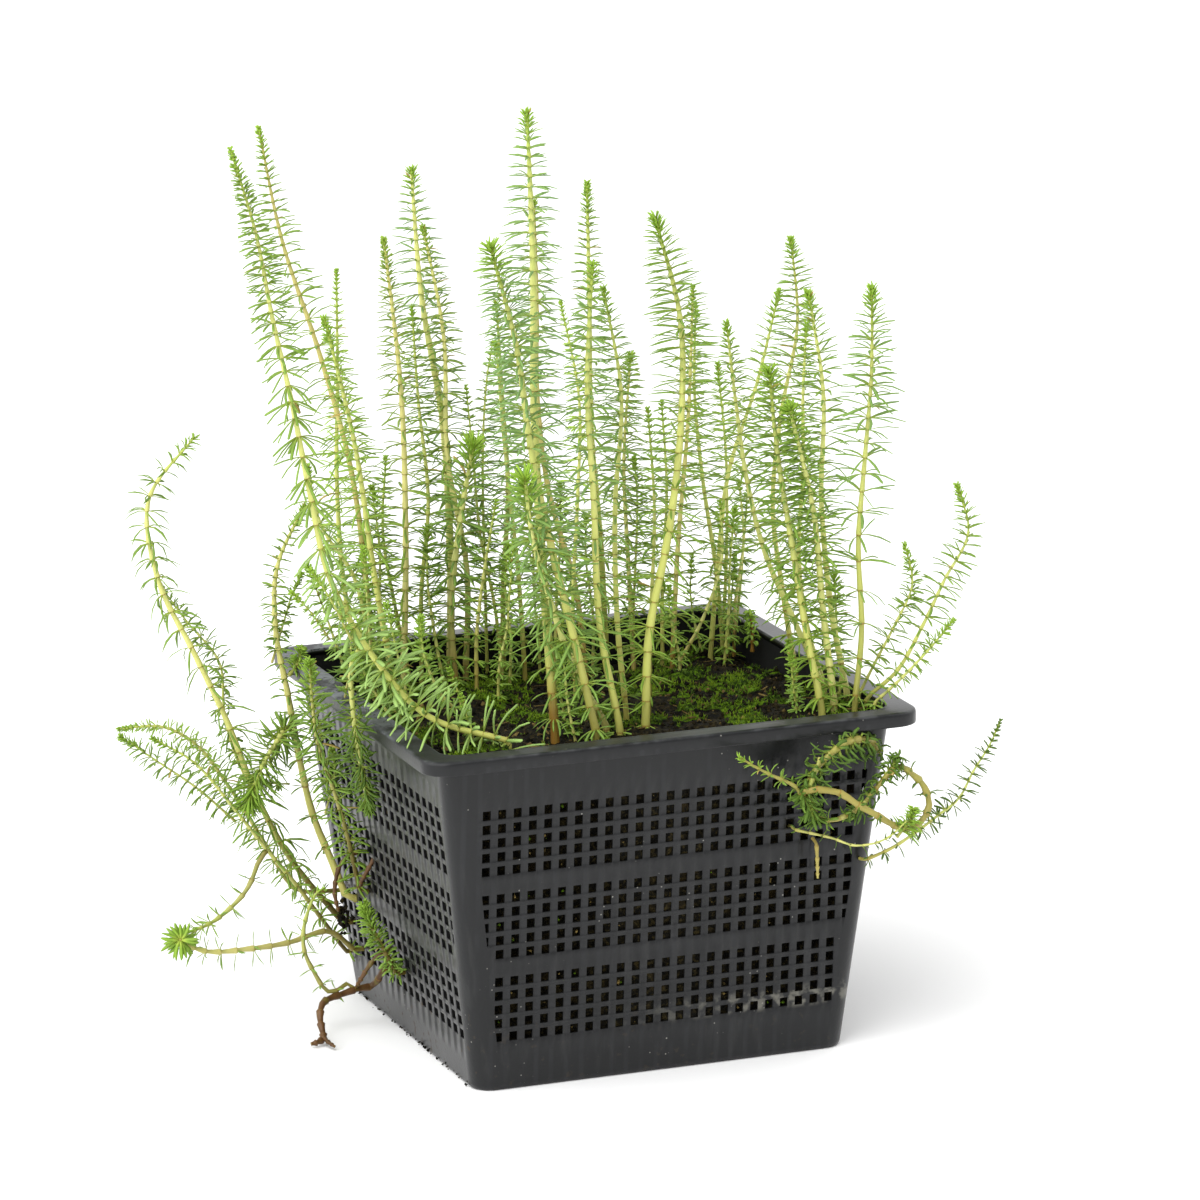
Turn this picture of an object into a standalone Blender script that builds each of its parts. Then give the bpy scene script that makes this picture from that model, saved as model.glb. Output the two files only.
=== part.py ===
"""Mares tail growing in a square pond basket.

The basket stands on z = 0 with its middle at the origin, +X to the right of its front face and
+Y towards its back. Sizes below are in millimetres.
"""

import math

import bmesh
import bpy
import numpy as np
from mathutils import Vector
from mathutils.bvhtree import BVHTree

MM = 0.001

# Basket
RIM_SIDE = 190.0
BASKET_HEIGHT = 131.0
BASE_SIDE = 144.4
WALL = 1.4
SKIRT_DROP = 5.2
FLANGE_REACH = 7.8
RIM_CORNER = 10.0
BASE_CORNER = 8.0
BASE_ROUND = 2.0
CORNER_POINTS = 5

# Soil
SOIL_MIDDLE = 121.0
SOIL_SLOPE = 0.075
SOIL_LUMP = 1.2
SOIL_SIDE_POINTS = 4
SOIL_RINGS = (0.84, 0.66, 0.47, 0.28, 0.1)

# Shoots
GAP = 0.3
FOOT_RISE = 3.0
FOOT_SPOTS = 12
WHORL_STEP = 29.0
BARE_SHARE = 0.06
LOW_LEAF_SHARE = 0.55
FULL_LEAF_FROM = 0.35
WAIST = 0.72
TIP_WIDTH = 0.3
TIP_STEM = 0.5
CURVE_STEPS = 24
SAMPLES = np.linspace(0.0, 1.0, 9)

# Each upright: stem thickness, leaf reach, foot on the soil, then the points it passes to its tip.
UPRIGHTS = {
    "shoot_bent": (4.4, 13, (-58, -75), [(-85, -65, 141), (-104, -59, 165), (-117, -54, 193),
                   (-123, -53, 224), (-128, -51, 256), (-134, -50, 287), (-139, -49, 318), (-147, -47, 349)]),
    "shoot_01": (3.6, 12, (-65, 60), [(-66, 61, 161), (-70, 64, 205), (-79, 70, 248), (-90, 77, 290),
                 (-96, 84, 333)]),
    "shoot_02": (4.0, 12, (-64, 34), [(-71, 35, 169), (-78, 33, 220), (-89, 32, 270)]),
    "shoot_03": (2.6, 9, (-67, 51), [(-69, 51, 142), (-74, 51, 166), (-86, 52, 187), (-91, 51, 211)]),
    "shoot_04": (2.4, 9, (-65, 69), [(-71, 72, 156), (-72, 75, 197), (-70, 77, 237), (-68, 81, 278)]),
    "shoot_05": (2.8, 10, (-45, 75), [(-49, 78, 145), (-52, 82, 174), (-49, 85, 204)]),
    "shoot_06": (3.6, 11, (-56, 50), [(-54, 49, 177), (-55, 47, 236), (-61, 45, 295)]),
    "shoot_07": (2.8, 10, (-42, 70), [(-41, 71, 152), (-37, 72, 188), (-38, 78, 225), (-38, 83, 261)]),
    "shoot_08": (4.2, 13, (-27, 80), [(-26, 80, 164), (-27, 82, 214), (-33, 86, 263), (-35, 89, 312)]),
    "shoot_09": (3.2, 11, (-26, 65), [(-24, 67, 161), (-29, 72, 204), (-28, 76, 249), (-34, 80, 292)]),
    "shoot_10": (4.4, 13, (-33, 58), [(-34, 57, 150), (-31, 53, 182), (-27, 47, 214)]),
    "shoot_11": (3.0, 9, (-30, 41), [(-29, 42, 143), (-25, 42, 169), (-20, 42, 193)]),
    "shoot_12": (3.6, 11, (-7, 76), [(-6, 77, 151), (-3, 78, 187), (-3, 82, 223), (-3, 87, 259)]),
    "shoot_13": (3.0, 10, (-5, 57), [(-7, 57, 161), (-11, 57, 206), (-14, 57, 250)]),
    "shoot_14": (4.4, 13, (-35, -60), [(-37, -57, 182), (-38, -53, 239), (-36, -49, 296), (-35, -43, 353)]),
    "shoot_15": (3.4, 11, (17, 50), [(14, 52, 154), (6, 57, 190), (4, 62, 226), (6, 66, 263), (7, 70, 300)]),
    "shoot_16": (4.6, 13, (-24, -74), [(-31, -72, 164), (-39, -71, 200), (-46, -71, 237), (-51, -72, 274),
                 (-60, -72, 311)]),
    "shoot_17": (4.0, 13, (-16, -62), [(-28, -62, 152), (-38, -67, 178), (-47, -74, 204), (-53, -84, 229)]),
    "shoot_18": (3.4, 11, (34, 74), [(33, 75, 162), (31, 78, 209), (32, 80, 256), (33, 83, 303)]),
    "shoot_19": (4.6, 12, (-13, -68), [(-19, -65, 169), (-20, -64, 213), (-21, -62, 256), (-18, -62, 300)]),
    "shoot_20": (2.4, 9, (-1, 12), [(-1, 13, 158), (2, 14, 196), (4, 16, 234), (-1, 21, 271)]),
    "shoot_21": (3.6, 11, (-3, -48), [(-6, -48, 166), (-6, -48, 207), (-4, -51, 248), (-10, -50, 289)]),
    "shoot_22": (3.4, 10, (40, 60), [(39, 61, 157), (39, 64, 198), (43, 65, 239)]),
    "shoot_23": (3.0, 9, (11, -34), [(12, -35, 162), (14, -35, 201), (12, -35, 240)]),
    "shoot_24": (4.8, 13, (-3, -68), [(-1, -68, 164), (7, -69, 202), (12, -69, 240), (13, -67, 278),
                 (6, -61, 315)]),
    "shoot_25": (3.4, 10, (51, 47), [(54, 47, 167), (59, 47, 217), (62, 48, 267)]),
    "shoot_26": (3.0, 10, (79, 66), [(77, 67, 151), (74, 72, 185), (73, 77, 219), (76, 82, 253)]),
    "shoot_27": (3.6, 11, (79, -39), [(69, -36, 152), (58, -33, 180), (51, -33, 209), (47, -33, 239),
                 (43, -35, 269)]),
    "shoot_28": (2.4, 9, (81, 72), [(84, 74, 153), (86, 78, 191), (86, 86, 228)]),
    "shoot_29": (2.8, 9, (70, 56), [(73, 55, 154), (78, 55, 191), (89, 52, 226), (98, 50, 262)]),
    "shoot_30": (4.2, 12, (63, -75), [(58, -73, 159), (54, -70, 191), (50, -67, 224), (48, -64, 256)]),
    "shoot_31": (3.2, 11, (82, -2), [(78, 0, 155), (75, 2, 189), (79, 3, 223), (86, 3, 257), (85, 6, 290)]),
    "shoot_32": (4.0, 11, (69, -72), [(65, -72, 166), (61, -73, 205), (52, -73, 244)]),
    "shoot_33": (3.2, 10, (82, -31), [(76, -28, 151), (74, -26, 178), (77, -24, 207), (78, -22, 235),
                 (81, -19, 263)]),
    "shoot_34": (3.8, 11, (81, -55), [(76, -52, 163), (74, -49, 202), (76, -47, 241), (72, -43, 279)]),
    "shoot_35": (3.8, 13, (75, -77), [(78, -77, 159), (77, -77, 191), (79, -79, 223), (81, -81, 255),
                 (81, -82, 287)]),
    "shoot_36": (2.8, 9, (80, 57), [(81, 57, 140), (85, 58, 164), (84, 60, 187)]),
    "shoot_37": (2.8, 9, (52, 42), [(61, 40, 139), (69, 40, 161), (70, 44, 184)]),
    "shoot_38": (2.2, 8, (82, -64), [(87, -67, 143), (93, -72, 158), (98, -77, 174), (94, -79, 191)]),
    "shoot_39": (2.6, 10, (82, -71), [(93, -75, 142), (102, -77, 158), (110, -79, 175), (119, -80, 192),
                 (116, -76, 210)]),
    "shoot_40": (2.6, 9, (82, -79), [(90, -83, 140), (100, -88, 152), (108, -93, 164)]),
    "shoot_over_rim": (3.0, 8, (-79, -14), [(-83, -15, 143), (-94, -20, 156), (-102, -30, 152),
                       (-103, -34, 137), (-99, -26, 122), (-95, -20, 106), (-91, -13, 93)]),
}

# Each side shoot: stem thickness, leaf reach, wall it comes through, its hole there, then its points.
# The left wall's hole is (y, z) and the front wall's is (x, z).
WALL_SHOOTS = {
    "trailing_shoot_1": (3.6, 10, "left", (60, 30), [(-99, 59, 57), (-112, 60, 84), (-122, 61, 113),
                         (-134, 62, 141), (-146, 64, 169), (-149, 63, 200), (-132, 57, 224)]),
    "trailing_shoot_2": (3.6, 9, "left", (50, 42), [(-83, 60, 55), (-88, 66, 72), (-93, 65, 95),
                         (-97, 64, 120), (-101, 64, 145), (-100, 63, 170), (-88, 64, 193)]),
    "trailing_shoot_3": (3.0, 8, "left", (70, 40), [(-94, 72, 42), (-104, 70, 58), (-113, 69, 74),
                         (-123, 65, 90), (-134, 61, 105), (-149, 56, 115), (-168, 52, 117)]),
    "trailing_shoot_4": (3.2, 8, "left", (62, 18), [(-89, 55, 34), (-101, 50, 51), (-113, 49, 67),
                         (-125, 49, 84), (-138, 51, 101), (-154, 55, 112)]),
    "trailing_shoot_5": (3.0, 9, "left", (50, 22), [(-89, 48, 31), (-105, 46, 29), (-121, 44, 29),
                         (-138, 44, 30), (-152, 45, 37)]),
    "trailing_shoot_6": (3.0, 8, "left", (31, 50), [(-87, 25, 71), (-93, 20, 90), (-100, 17, 110),
                         (-105, 8, 129), (-108, 1, 149)]),
    "trailing_shoot_7": (2.8, 8, "left", (-2, 27), [(-83, -2, 36), (-86, 3, 44), (-88, 7, 53)]),
    "wall_root": (3.0, 1.5, "left", (8, 25), [(-81, 17, 18), (-89, 22, 14), (-100, 19, 12),
                  (-107, 8, 14), (-109, -5, 13), (-108, -4, 6), (-113, 2, 3)]),
    "knot_shoot_1": (3.4, 8, "front", (84, 117), [(79, -95, 123), (69, -98, 122), (60, -99, 121),
                     (52, -98, 116), (50, -94, 107), (52, -90, 97)]),
    "knot_shoot_2": (3.0, 7, "front", (75, 74), [(83, -90, 79), (91, -94, 85), (101, -92, 90),
                     (111, -89, 95), (117, -88, 104), (124, -87, 113), (129, -87, 123)]),
    "knot_shoot_3": (2.2, 6, "front", (48, 89), [(57, -97, 88), (64, -104, 86), (73, -110, 89),
                     (81, -114, 97)]),
    "knot_stub": (2.2, 1.1, "front", (56, 84), [(56, -86, 79), (57, -84, 68)]),
}

# Each branch: stem thickness, leaf reach, parent, how far along it the fork is, then its points.
BRANCHES = {
    "trailing_shoot_4_branch": (2.2, 7, "trailing_shoot_4", 0.5, [(-120, 50, 50), (-132, 48, 41),
                                (-144, 44, 38)]),
    "root_shoot": (2.2, 6, "wall_root", 0.28, [(-97, 31, 17), (-102, 32, 25), (-104, 31, 35),
                   (-102, 31, 44), (-97, 30, 52)]),
    "knot_shoot_4": (3.4, 6, "knot_shoot_1", 0.1, [(78, -103, 110), (70, -103, 100), (59, -102, 95),
                     (48, -103, 99), (39, -105, 107), (31, -106, 117), (21, -107, 126)]),
    "knot_loop": (3.6, 1.8, "knot_shoot_1", 0.74, [(44, -99, 105), (50, -106, 109), (59, -109, 106),
                  (67, -109, 100), (75, -108, 94), (84, -105, 90), (93, -101, 91), (97, -97, 98),
                  (93, -97, 107), (84, -101, 111)]),
}

# Colour, roughness
FINISHES = {
    "black plastic": ((0.035, 0.036, 0.038), 0.5),
    "peat": ((0.012, 0.009, 0.007), 0.95),
    "green leaf": ((0.12, 0.24, 0.08), 0.6),
    "pale leaf": ((0.22, 0.34, 0.2), 0.6),
    "brown leaf": ((0.16, 0.12, 0.05), 0.7),
    "olive stem": ((0.2, 0.17, 0.05), 0.6),
    "root": ((0.09, 0.04, 0.025), 0.8),
}
PALE = {"shoot_bent", "shoot_28", "trailing_shoot_5"}
BROWN = {"shoot_06", "shoot_09", "shoot_15", "shoot_22", "shoot_25"}
OLIVE = {"knot_shoot_1", "knot_shoot_4", "knot_loop", "knot_stub"}
ROOTS = {"wall_root"}


def clear_scene():
    for item in list(bpy.data.objects):
        bpy.data.objects.remove(item, do_unlink=True)


def make_collection(name):
    collection = bpy.data.collections.new(name)
    bpy.context.scene.collection.children.link(collection)
    return collection


def make_material(name):
    colour, roughness = FINISHES[name]
    material = bpy.data.materials.new(name)
    material.use_nodes = True
    surface = material.node_tree.nodes["Principled BSDF"]
    surface.inputs["Base Color"].default_value = (*colour, 1.0)
    surface.inputs["Roughness"].default_value = roughness
    surface.inputs["Metallic"].default_value = 0.0
    material.diffuse_color = (*colour, 1.0)
    return material


def finish_of(name):
    if name in PALE:
        return "pale leaf"
    if name in BROWN:
        return "brown leaf"
    if name in OLIVE:
        return "olive stem"
    if name in ROOTS:
        return "root"
    return "green leaf"


def wall_half(z):
    """Half the basket's outer width at height z."""
    wall_top = RIM_SIDE / 2 - FLANGE_REACH
    share = min(max(z / (BASKET_HEIGHT - WALL), 0.0), 1.0)
    return BASE_SIDE / 2 + (wall_top - BASE_SIDE / 2) * share


def soil_height(x, y):
    """The peat lies high at the front and low at the back, with gentle lumps."""
    lumps = math.sin(x / 13.0 + 1.0) * math.cos(y / 11.0) + 0.6 * math.sin((x - y) / 19.0)
    return SOIL_MIDDLE - SOIL_SLOPE * y + SOIL_LUMP * lumps


def rounded_square(half, radius, z=0.0, side_points=0):
    """Points around a square with round corners, anticlockwise seen from above."""
    inner = half - radius
    quarter = []
    for step in range(CORNER_POINTS):
        angle = math.pi / 2 * step / (CORNER_POINTS - 1)
        quarter.append((inner + radius * math.cos(angle), inner + radius * math.sin(angle)))
    for step in range(1, side_points + 1):
        quarter.append((inner - 2 * inner * step / (side_points + 1), half))
    points = []
    for c, s in ((1, 0), (0, 1), (-1, 0), (0, -1)):
        points += [Vector((x * c - y * s, x * s + y * c, z)) for x, y in quarter]
    return points


def loft(rings):
    """Extrude a filled first ring through the others, which have as many points each."""
    bm = bmesh.new()
    spot = bm.verts.layers.int.new("spot")
    made = bmesh.ops.create_circle(bm, cap_ends=True, segments=len(rings[0]), radius=1.0)
    for index, vert in enumerate(made["verts"]):
        vert[spot] = index
    verts = made["verts"]
    edges = list(bm.edges)
    for number, ring in enumerate(rings):
        if number:
            grown = bmesh.ops.extrude_edge_only(bm, edges=edges)["geom"]
            verts = [item for item in grown if isinstance(item, bmesh.types.BMVert)]
            edges = [item for item in grown if isinstance(item, bmesh.types.BMEdge)
                     and item.verts[0] in set(verts) and item.verts[1] in set(verts)]
        for vert in verts:
            vert.co = ring[vert[spot]] * MM
    return bm, edges


def add_object(name, bm, material, collection):
    mesh = bpy.data.meshes.new(name)
    bm.to_mesh(mesh)
    bm.free()
    mesh.materials.append(material)
    mesh.shade_smooth()
    mesh.set_sharp_from_angle(angle=math.radians(35))
    item = bpy.data.objects.new(name, mesh)
    collection.objects.link(item)
    return item


def make_basket(material, collection):
    """One sheet, from the floor up the wall, out under the rim and down its skirt, then thickened."""
    wall_top = RIM_SIDE / 2 - FLANGE_REACH
    flange_under = BASKET_HEIGHT - WALL
    skirt = RIM_SIDE / 2 - WALL
    rings = [
        rounded_square(BASE_SIDE / 2 - BASE_ROUND, BASE_CORNER - BASE_ROUND, 0.0),
        rounded_square(BASE_SIDE / 2 - BASE_ROUND / 3, BASE_CORNER - BASE_ROUND / 3, BASE_ROUND / 3),
        rounded_square(wall_half(BASE_ROUND), BASE_CORNER, BASE_ROUND),
        rounded_square(wall_top, BASE_CORNER, flange_under),
        rounded_square(skirt, RIM_CORNER - WALL, flange_under),
        rounded_square(skirt, RIM_CORNER - WALL, BASKET_HEIGHT - SKIRT_DROP),
    ]
    bm, _ = loft(rings)
    bmesh.ops.recalc_face_normals(bm, faces=bm.faces)
    bmesh.ops.reverse_faces(bm, faces=bm.faces)
    basket = add_object("basket", bm, material, collection)
    shell = basket.modifiers.new("Wall", "SOLIDIFY")
    shell.thickness = WALL * MM
    shell.offset = -1.0
    shell.use_even_offset = True
    return basket


def soil_edge(clear, radius):
    """Where the peat's top meets the wall, at its own height all the way round."""
    level = rounded_square(wall_half(SOIL_MIDDLE) - clear, radius, 0.0, SOIL_SIDE_POINTS)
    edge = []
    for index, spot in enumerate(level):
        z = soil_height(spot.x, spot.y)
        edge.append(rounded_square(wall_half(z) - clear, radius, z, SOIL_SIDE_POINTS)[index])
    return edge


def make_soil(material, collection):
    """The peat fills the basket, a hair clear of its floor and walls."""
    clear = WALL + GAP
    radius = BASE_CORNER - clear
    low = clear + BASE_ROUND
    half = wall_half(low) - clear
    edge = soil_edge(clear, radius)
    rings = [
        rounded_square(half - BASE_ROUND, radius - BASE_ROUND, clear, SOIL_SIDE_POINTS),
        rounded_square(half, radius, low, SOIL_SIDE_POINTS),
        edge,
    ]
    for share in SOIL_RINGS:
        ring = []
        for spot in edge:
            x, y = spot.x * share, spot.y * share
            ring.append(Vector((x, y, soil_height(x, y))))
        rings.append(ring)
    bm, brim = loft(rings)
    bmesh.ops.holes_fill(bm, edges=brim)
    bmesh.ops.recalc_face_normals(bm, faces=bm.faces)
    return add_object("soil", bm, material, collection)


def smooth_route(points):
    """A curve through the points (Catmull-Rom), as an array of close places along it."""
    p = np.array(points, dtype=float)
    p = np.vstack([2 * p[0] - p[1], p, 2 * p[-1] - p[-2]])
    t = np.linspace(0, 1, CURVE_STEPS, endpoint=False)[:, None]
    spans = []
    for a, b, c, d in zip(p[:-3], p[1:-2], p[2:-1], p[3:]):
        spans.append(0.5 * (2 * b + (c - a) * t + (2 * a - 5 * b + 4 * c - d) * t ** 2
                            + (3 * b - a - 3 * c + d) * t ** 3))
    return np.vstack([*spans, p[-2:-1]])


def along(route, distances):
    """Places on a route at the given distances from its start."""
    steps = np.linalg.norm(np.diff(route, axis=0), axis=1)
    reached = np.concatenate([[0.0], np.cumsum(steps)])
    return np.stack([np.interp(distances, reached, route[:, axis]) for axis in range(3)], axis=1)


def route_length(route):
    return float(np.linalg.norm(np.diff(route, axis=0), axis=1).sum())


def distances_to(start, end, places):
    """Shortest distances from the line between start and end to each stretch between places."""
    lows, spans = places[:-1], np.diff(places, axis=0)
    sizes = np.maximum((spans ** 2).sum(axis=1), 1e-9)
    best = np.full(len(lows), np.inf)
    for share in SAMPLES:
        spot = start + (end - start) * share
        t = np.clip(((spot - lows) * spans).sum(axis=1) / sizes, 0, 1)
        best = np.minimum(best, np.linalg.norm(lows + spans * t[:, None] - spot, axis=1))
    return best


def outside_square(x, y, half, radius):
    """Distance from a place to the outline of a rounded square, negative inside it."""
    dx, dy = abs(x) - (half - radius), abs(y) - (half - radius)
    return math.hypot(max(dx, 0.0), max(dy, 0.0)) + min(max(dx, dy), 0.0) - radius


def room_to_basket(place):
    """How far a place is from the basket's rim, wall and soil, at least."""
    x, y, z = place
    out_of_rim = outside_square(x, y, RIM_SIDE / 2, RIM_CORNER)
    in_from_rim = -outside_square(x, y, wall_half(BASKET_HEIGHT) - WALL, BASE_CORNER - WALL)
    skirt_foot = BASKET_HEIGHT - SKIRT_DROP
    above = z - BASKET_HEIGHT
    below = skirt_foot - z
    sideways = max(out_of_rim, in_from_rim, 0.0)
    rim_room = math.hypot(sideways, max(above, below, 0.0))
    if z >= BASKET_HEIGHT:
        soil_room = z - soil_height(x, y) - SOIL_LUMP if in_from_rim > 0 else rim_room
        return min(rim_room, soil_room)
    if in_from_rim > 0:
        wall_room = -outside_square(x, y, wall_half(z) - WALL, BASE_CORNER - WALL)
        return min(rim_room, wall_room, z - soil_height(x, y) - SOIL_LUMP)
    wall_room = outside_square(x, y, wall_half(z), BASE_CORNER)
    return min(rim_room, wall_room, z)


def stations_of(start, knee, points):
    """Places along a shoot: its foot, its knee, then waists and whorls by turns up to its tip."""
    route = np.vstack([start, smooth_route([knee, *points])])
    length = route_length(route)
    leafy = max(2 * FOOT_RISE, length * BARE_SHARE)
    whorls = max(2, round((length - leafy) / WHORL_STEP))
    return along(route, [0.0, FOOT_RISE, *np.linspace(leafy, length, 2 * whorls + 1)])


def leaf_radii(stem, reach, count):
    """Reach of the leaves at each station: short low whorls, full ones above, a narrow tip."""
    radii = np.full(count, stem)
    for index in range(3, count):
        share = index / (count - 1)
        full = min(1.0, LOW_LEAF_SHARE + (1 - LOW_LEAF_SHARE) * share / FULL_LEAF_FROM)
        radii[index] = max(stem, reach * full * (1.0 if index % 2 else WAIST))
    radii[-1] = max(stem * TIP_STEM, reach * TIP_WIDTH)
    return radii


def plan_shoot(name, thickness, reach, start, away, points, parent=None):
    """A shoot leaves what carries it straight along `away`, then follows its points."""
    start = np.array(start, dtype=float)
    knee = start + np.array(away, dtype=float) * FOOT_RISE
    places = stations_of(start, knee, points)
    stem = thickness / 2
    return {"name": name, "stem": stem, "reach": reach, "parent": parent, "places": places,
            "radii": leaf_radii(stem, reach, len(places))}


def foot_on_soil(tree, x, y, stem):
    """The lowest height at which a stem's flat end clears the peat under it."""
    highest = 0.0
    for step in range(FOOT_SPOTS):
        angle = 2 * math.pi * step / FOOT_SPOTS
        for reach in (0.0, stem / 2, stem, stem + GAP):
            spot = Vector((x + reach * math.cos(angle), y + reach * math.sin(angle), 2 * BASKET_HEIGHT))
            hit = tree.ray_cast(spot * MM, Vector((0.0, 0.0, -1.0)))[0]
            highest = max(highest, hit.z / MM)
    return highest + GAP


def plan_uprights(soil):
    bm = bmesh.new()
    bm.from_mesh(soil.data)
    tree = BVHTree.FromBMesh(bm)
    bm.free()
    plans = {}
    for name, (thickness, reach, (x, y), points) in UPRIGHTS.items():
        start = (x, y, foot_on_soil(tree, x, y, thickness / 2))
        plans[name] = plan_shoot(name, thickness, reach, start, (0, 0, 1), points)
    return plans


def plan_wall_shoots():
    plans = {}
    for name, (thickness, reach, wall, (across, z), points) in WALL_SHOOTS.items():
        out = wall_half(z + thickness / 2) + GAP
        start, away = ((-out, across, z), (-1, 0, 0)) if wall == "left" else ((across, -out, z), (0, -1, 0))
        plans[name] = plan_shoot(name, thickness, reach, start, away, points)
    return plans


def plan_branches(plans):
    """Each branch leaves its parent square to it, touching its bare stem."""
    for name, (thickness, reach, parent, share, points) in BRANCHES.items():
        places = plans[parent]["places"]
        middle = route_length(places) * share
        before, fork, after = along(places, [middle - 1.0, middle, middle + 1.0])
        run = (after - before) / np.linalg.norm(after - before)
        away = np.array(points[0]) - fork
        away = away - run * (away @ run)
        away = away / np.linalg.norm(away)
        start = fork + away * (plans[parent]["stem"] + GAP)
        plans[name] = plan_shoot(name, thickness, reach, start, away, points, parent)


def limit(shoot, index, radius):
    """Narrow the stretch after a station, never below the stem."""
    for end in (index, index + 1):
        shoot["radii"][end] = min(shoot["radii"][end], max(radius, shoot["stem"]))


def clear_basket(shoot):
    places = shoot["places"]
    for index in range(1, len(places) - 1):
        room = min(room_to_basket(places[index] + (places[index + 1] - places[index]) * share)
                   for share in SAMPLES)
        limit(shoot, index, room - GAP)


def clear_each_other(first, second):
    """Share the room between two shoots by their reach, a gap apart."""
    share = first["reach"] / (first["reach"] + second["reach"])
    stems = first["stem"], second["stem"]
    for index in range(len(first["places"]) - 1):
        rooms = distances_to(first["places"][index], first["places"][index + 1], second["places"]) - GAP
        for other, room in enumerate(rooms):
            if second["parent"] == first["name"] and other == 0:
                limit(first, index, room)
                continue
            mine = max(min(room * share, room - stems[1]), stems[0])
            limit(first, index, mine)
            limit(second, other, room - mine)


def make_shoot(shoot, material, collection):
    """A six-sided tube whose width follows the leaves, with its origin at its foot."""
    foot = shoot["places"][0]
    curve = bpy.data.curves.new(shoot["name"], "CURVE")
    curve.dimensions = "3D"
    curve.bevel_depth = MM
    curve.bevel_resolution = 1
    curve.use_fill_caps = True
    spline = curve.splines.new("POLY")
    spline.points.add(len(shoot["places"]) - 1)
    for point, place, radius in zip(spline.points, shoot["places"], shoot["radii"]):
        point.co = (*((place - foot) * MM), 1.0)
        point.radius = radius
    spline.use_smooth = True
    curve.materials.append(material)
    item = bpy.data.objects.new(shoot["name"], curve)
    item.location = foot * MM
    collection.objects.link(item)
    return item


def main():
    clear_scene()
    collection = make_collection("mares_tail")
    materials = {name: make_material(name) for name in FINISHES}
    basket = make_basket(materials["black plastic"], collection)
    soil = make_soil(materials["peat"], collection)

    plans = {**plan_uprights(soil), **plan_wall_shoots()}
    plan_branches(plans)
    shoots = list(plans.values())
    for number, shoot in enumerate(shoots):
        clear_basket(shoot)
        for other in shoots[number + 1:]:
            clear_each_other(shoot, other)

    plant = bpy.data.objects.new("plant", None)
    collection.objects.link(plant)
    for shoot in shoots:
        make_shoot(shoot, materials[finish_of(shoot["name"])], collection).parent = plant
    soil.parent = basket


main()
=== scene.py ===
import math

import bpy
import numpy as np
from mathutils import Matrix, Vector


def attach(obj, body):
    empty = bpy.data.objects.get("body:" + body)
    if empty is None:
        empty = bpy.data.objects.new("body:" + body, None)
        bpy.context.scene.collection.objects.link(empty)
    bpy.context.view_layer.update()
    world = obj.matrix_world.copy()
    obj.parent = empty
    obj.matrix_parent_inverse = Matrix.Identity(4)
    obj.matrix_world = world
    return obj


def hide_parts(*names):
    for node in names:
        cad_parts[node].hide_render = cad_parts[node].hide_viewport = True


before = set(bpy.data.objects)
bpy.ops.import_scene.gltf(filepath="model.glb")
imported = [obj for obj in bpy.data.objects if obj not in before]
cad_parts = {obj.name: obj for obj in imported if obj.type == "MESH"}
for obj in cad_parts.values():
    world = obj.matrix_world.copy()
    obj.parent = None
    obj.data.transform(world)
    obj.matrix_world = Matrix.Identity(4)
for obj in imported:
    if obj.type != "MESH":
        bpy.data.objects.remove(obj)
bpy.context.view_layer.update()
mm = 0.001
print("frame loaded")


# small maths on whole arrays
def smooth(x):
    # 0 below 0, 1 above 1, an S between
    x = np.clip(x, 0.0, 1.0)
    return x * x * (3 - 2 * x)


def unit(v):
    return v / np.maximum(np.linalg.norm(v, axis=-1, keepdims=True), 1e-12)


def hills(x, y, size, seed):
    # heights from -1 to 1 on a lattice of that size, blended by an S between its corners
    heights = np.random.default_rng(seed).uniform(-1, 1, (64, 64))
    x, y = x / size + 300.3, y / size + 300.7
    i, j = np.floor(x).astype(int), np.floor(y).astype(int)
    u, v = smooth(x - i), smooth(y - j)
    i, j, i2, j2 = i % 64, j % 64, (i + 1) % 64, (j + 1) % 64
    low = heights[i, j] * (1 - u) + heights[i2, j] * u
    high = heights[i, j2] * (1 - u) + heights[i2, j2] * u
    return low * (1 - v) + high * v


def roughHills(x, y, size, seed):
    # three lattices, each half as wide and half as high as the last
    return hills(x, y, size, seed) + 0.5 * hills(x, y, size / 2, seed + 1) + 0.25 * hills(x, y, size / 4, seed + 2)


# meshes: a part is (places in mm, blocks of faces, material number, values by name)
def gridFaces(rows, columns, closed=False, ring=False):
    # quads of a grid numbered row by row; closed joins the last column to the first, ring the last row to the first
    row = np.arange(rows if ring else rows - 1)[:, None] * columns
    after = (row + columns) % (rows * columns)
    c = np.arange(columns if closed else columns - 1)[None, :]
    d = (c + 1) % columns
    return np.stack([row + c, row + d, after + d, after + c], axis=-1).reshape(-1, 4)


def fanFaces(start, count, pole, flip=False):
    # triangles from a closed row of places, numbered from start, to one place
    turn = np.arange(count)
    a, b = start + turn, start + (turn + 1) % count
    return np.stack([b, a, np.full(count, pole)] if flip else [a, b, np.full(count, pole)], 1)


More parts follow.
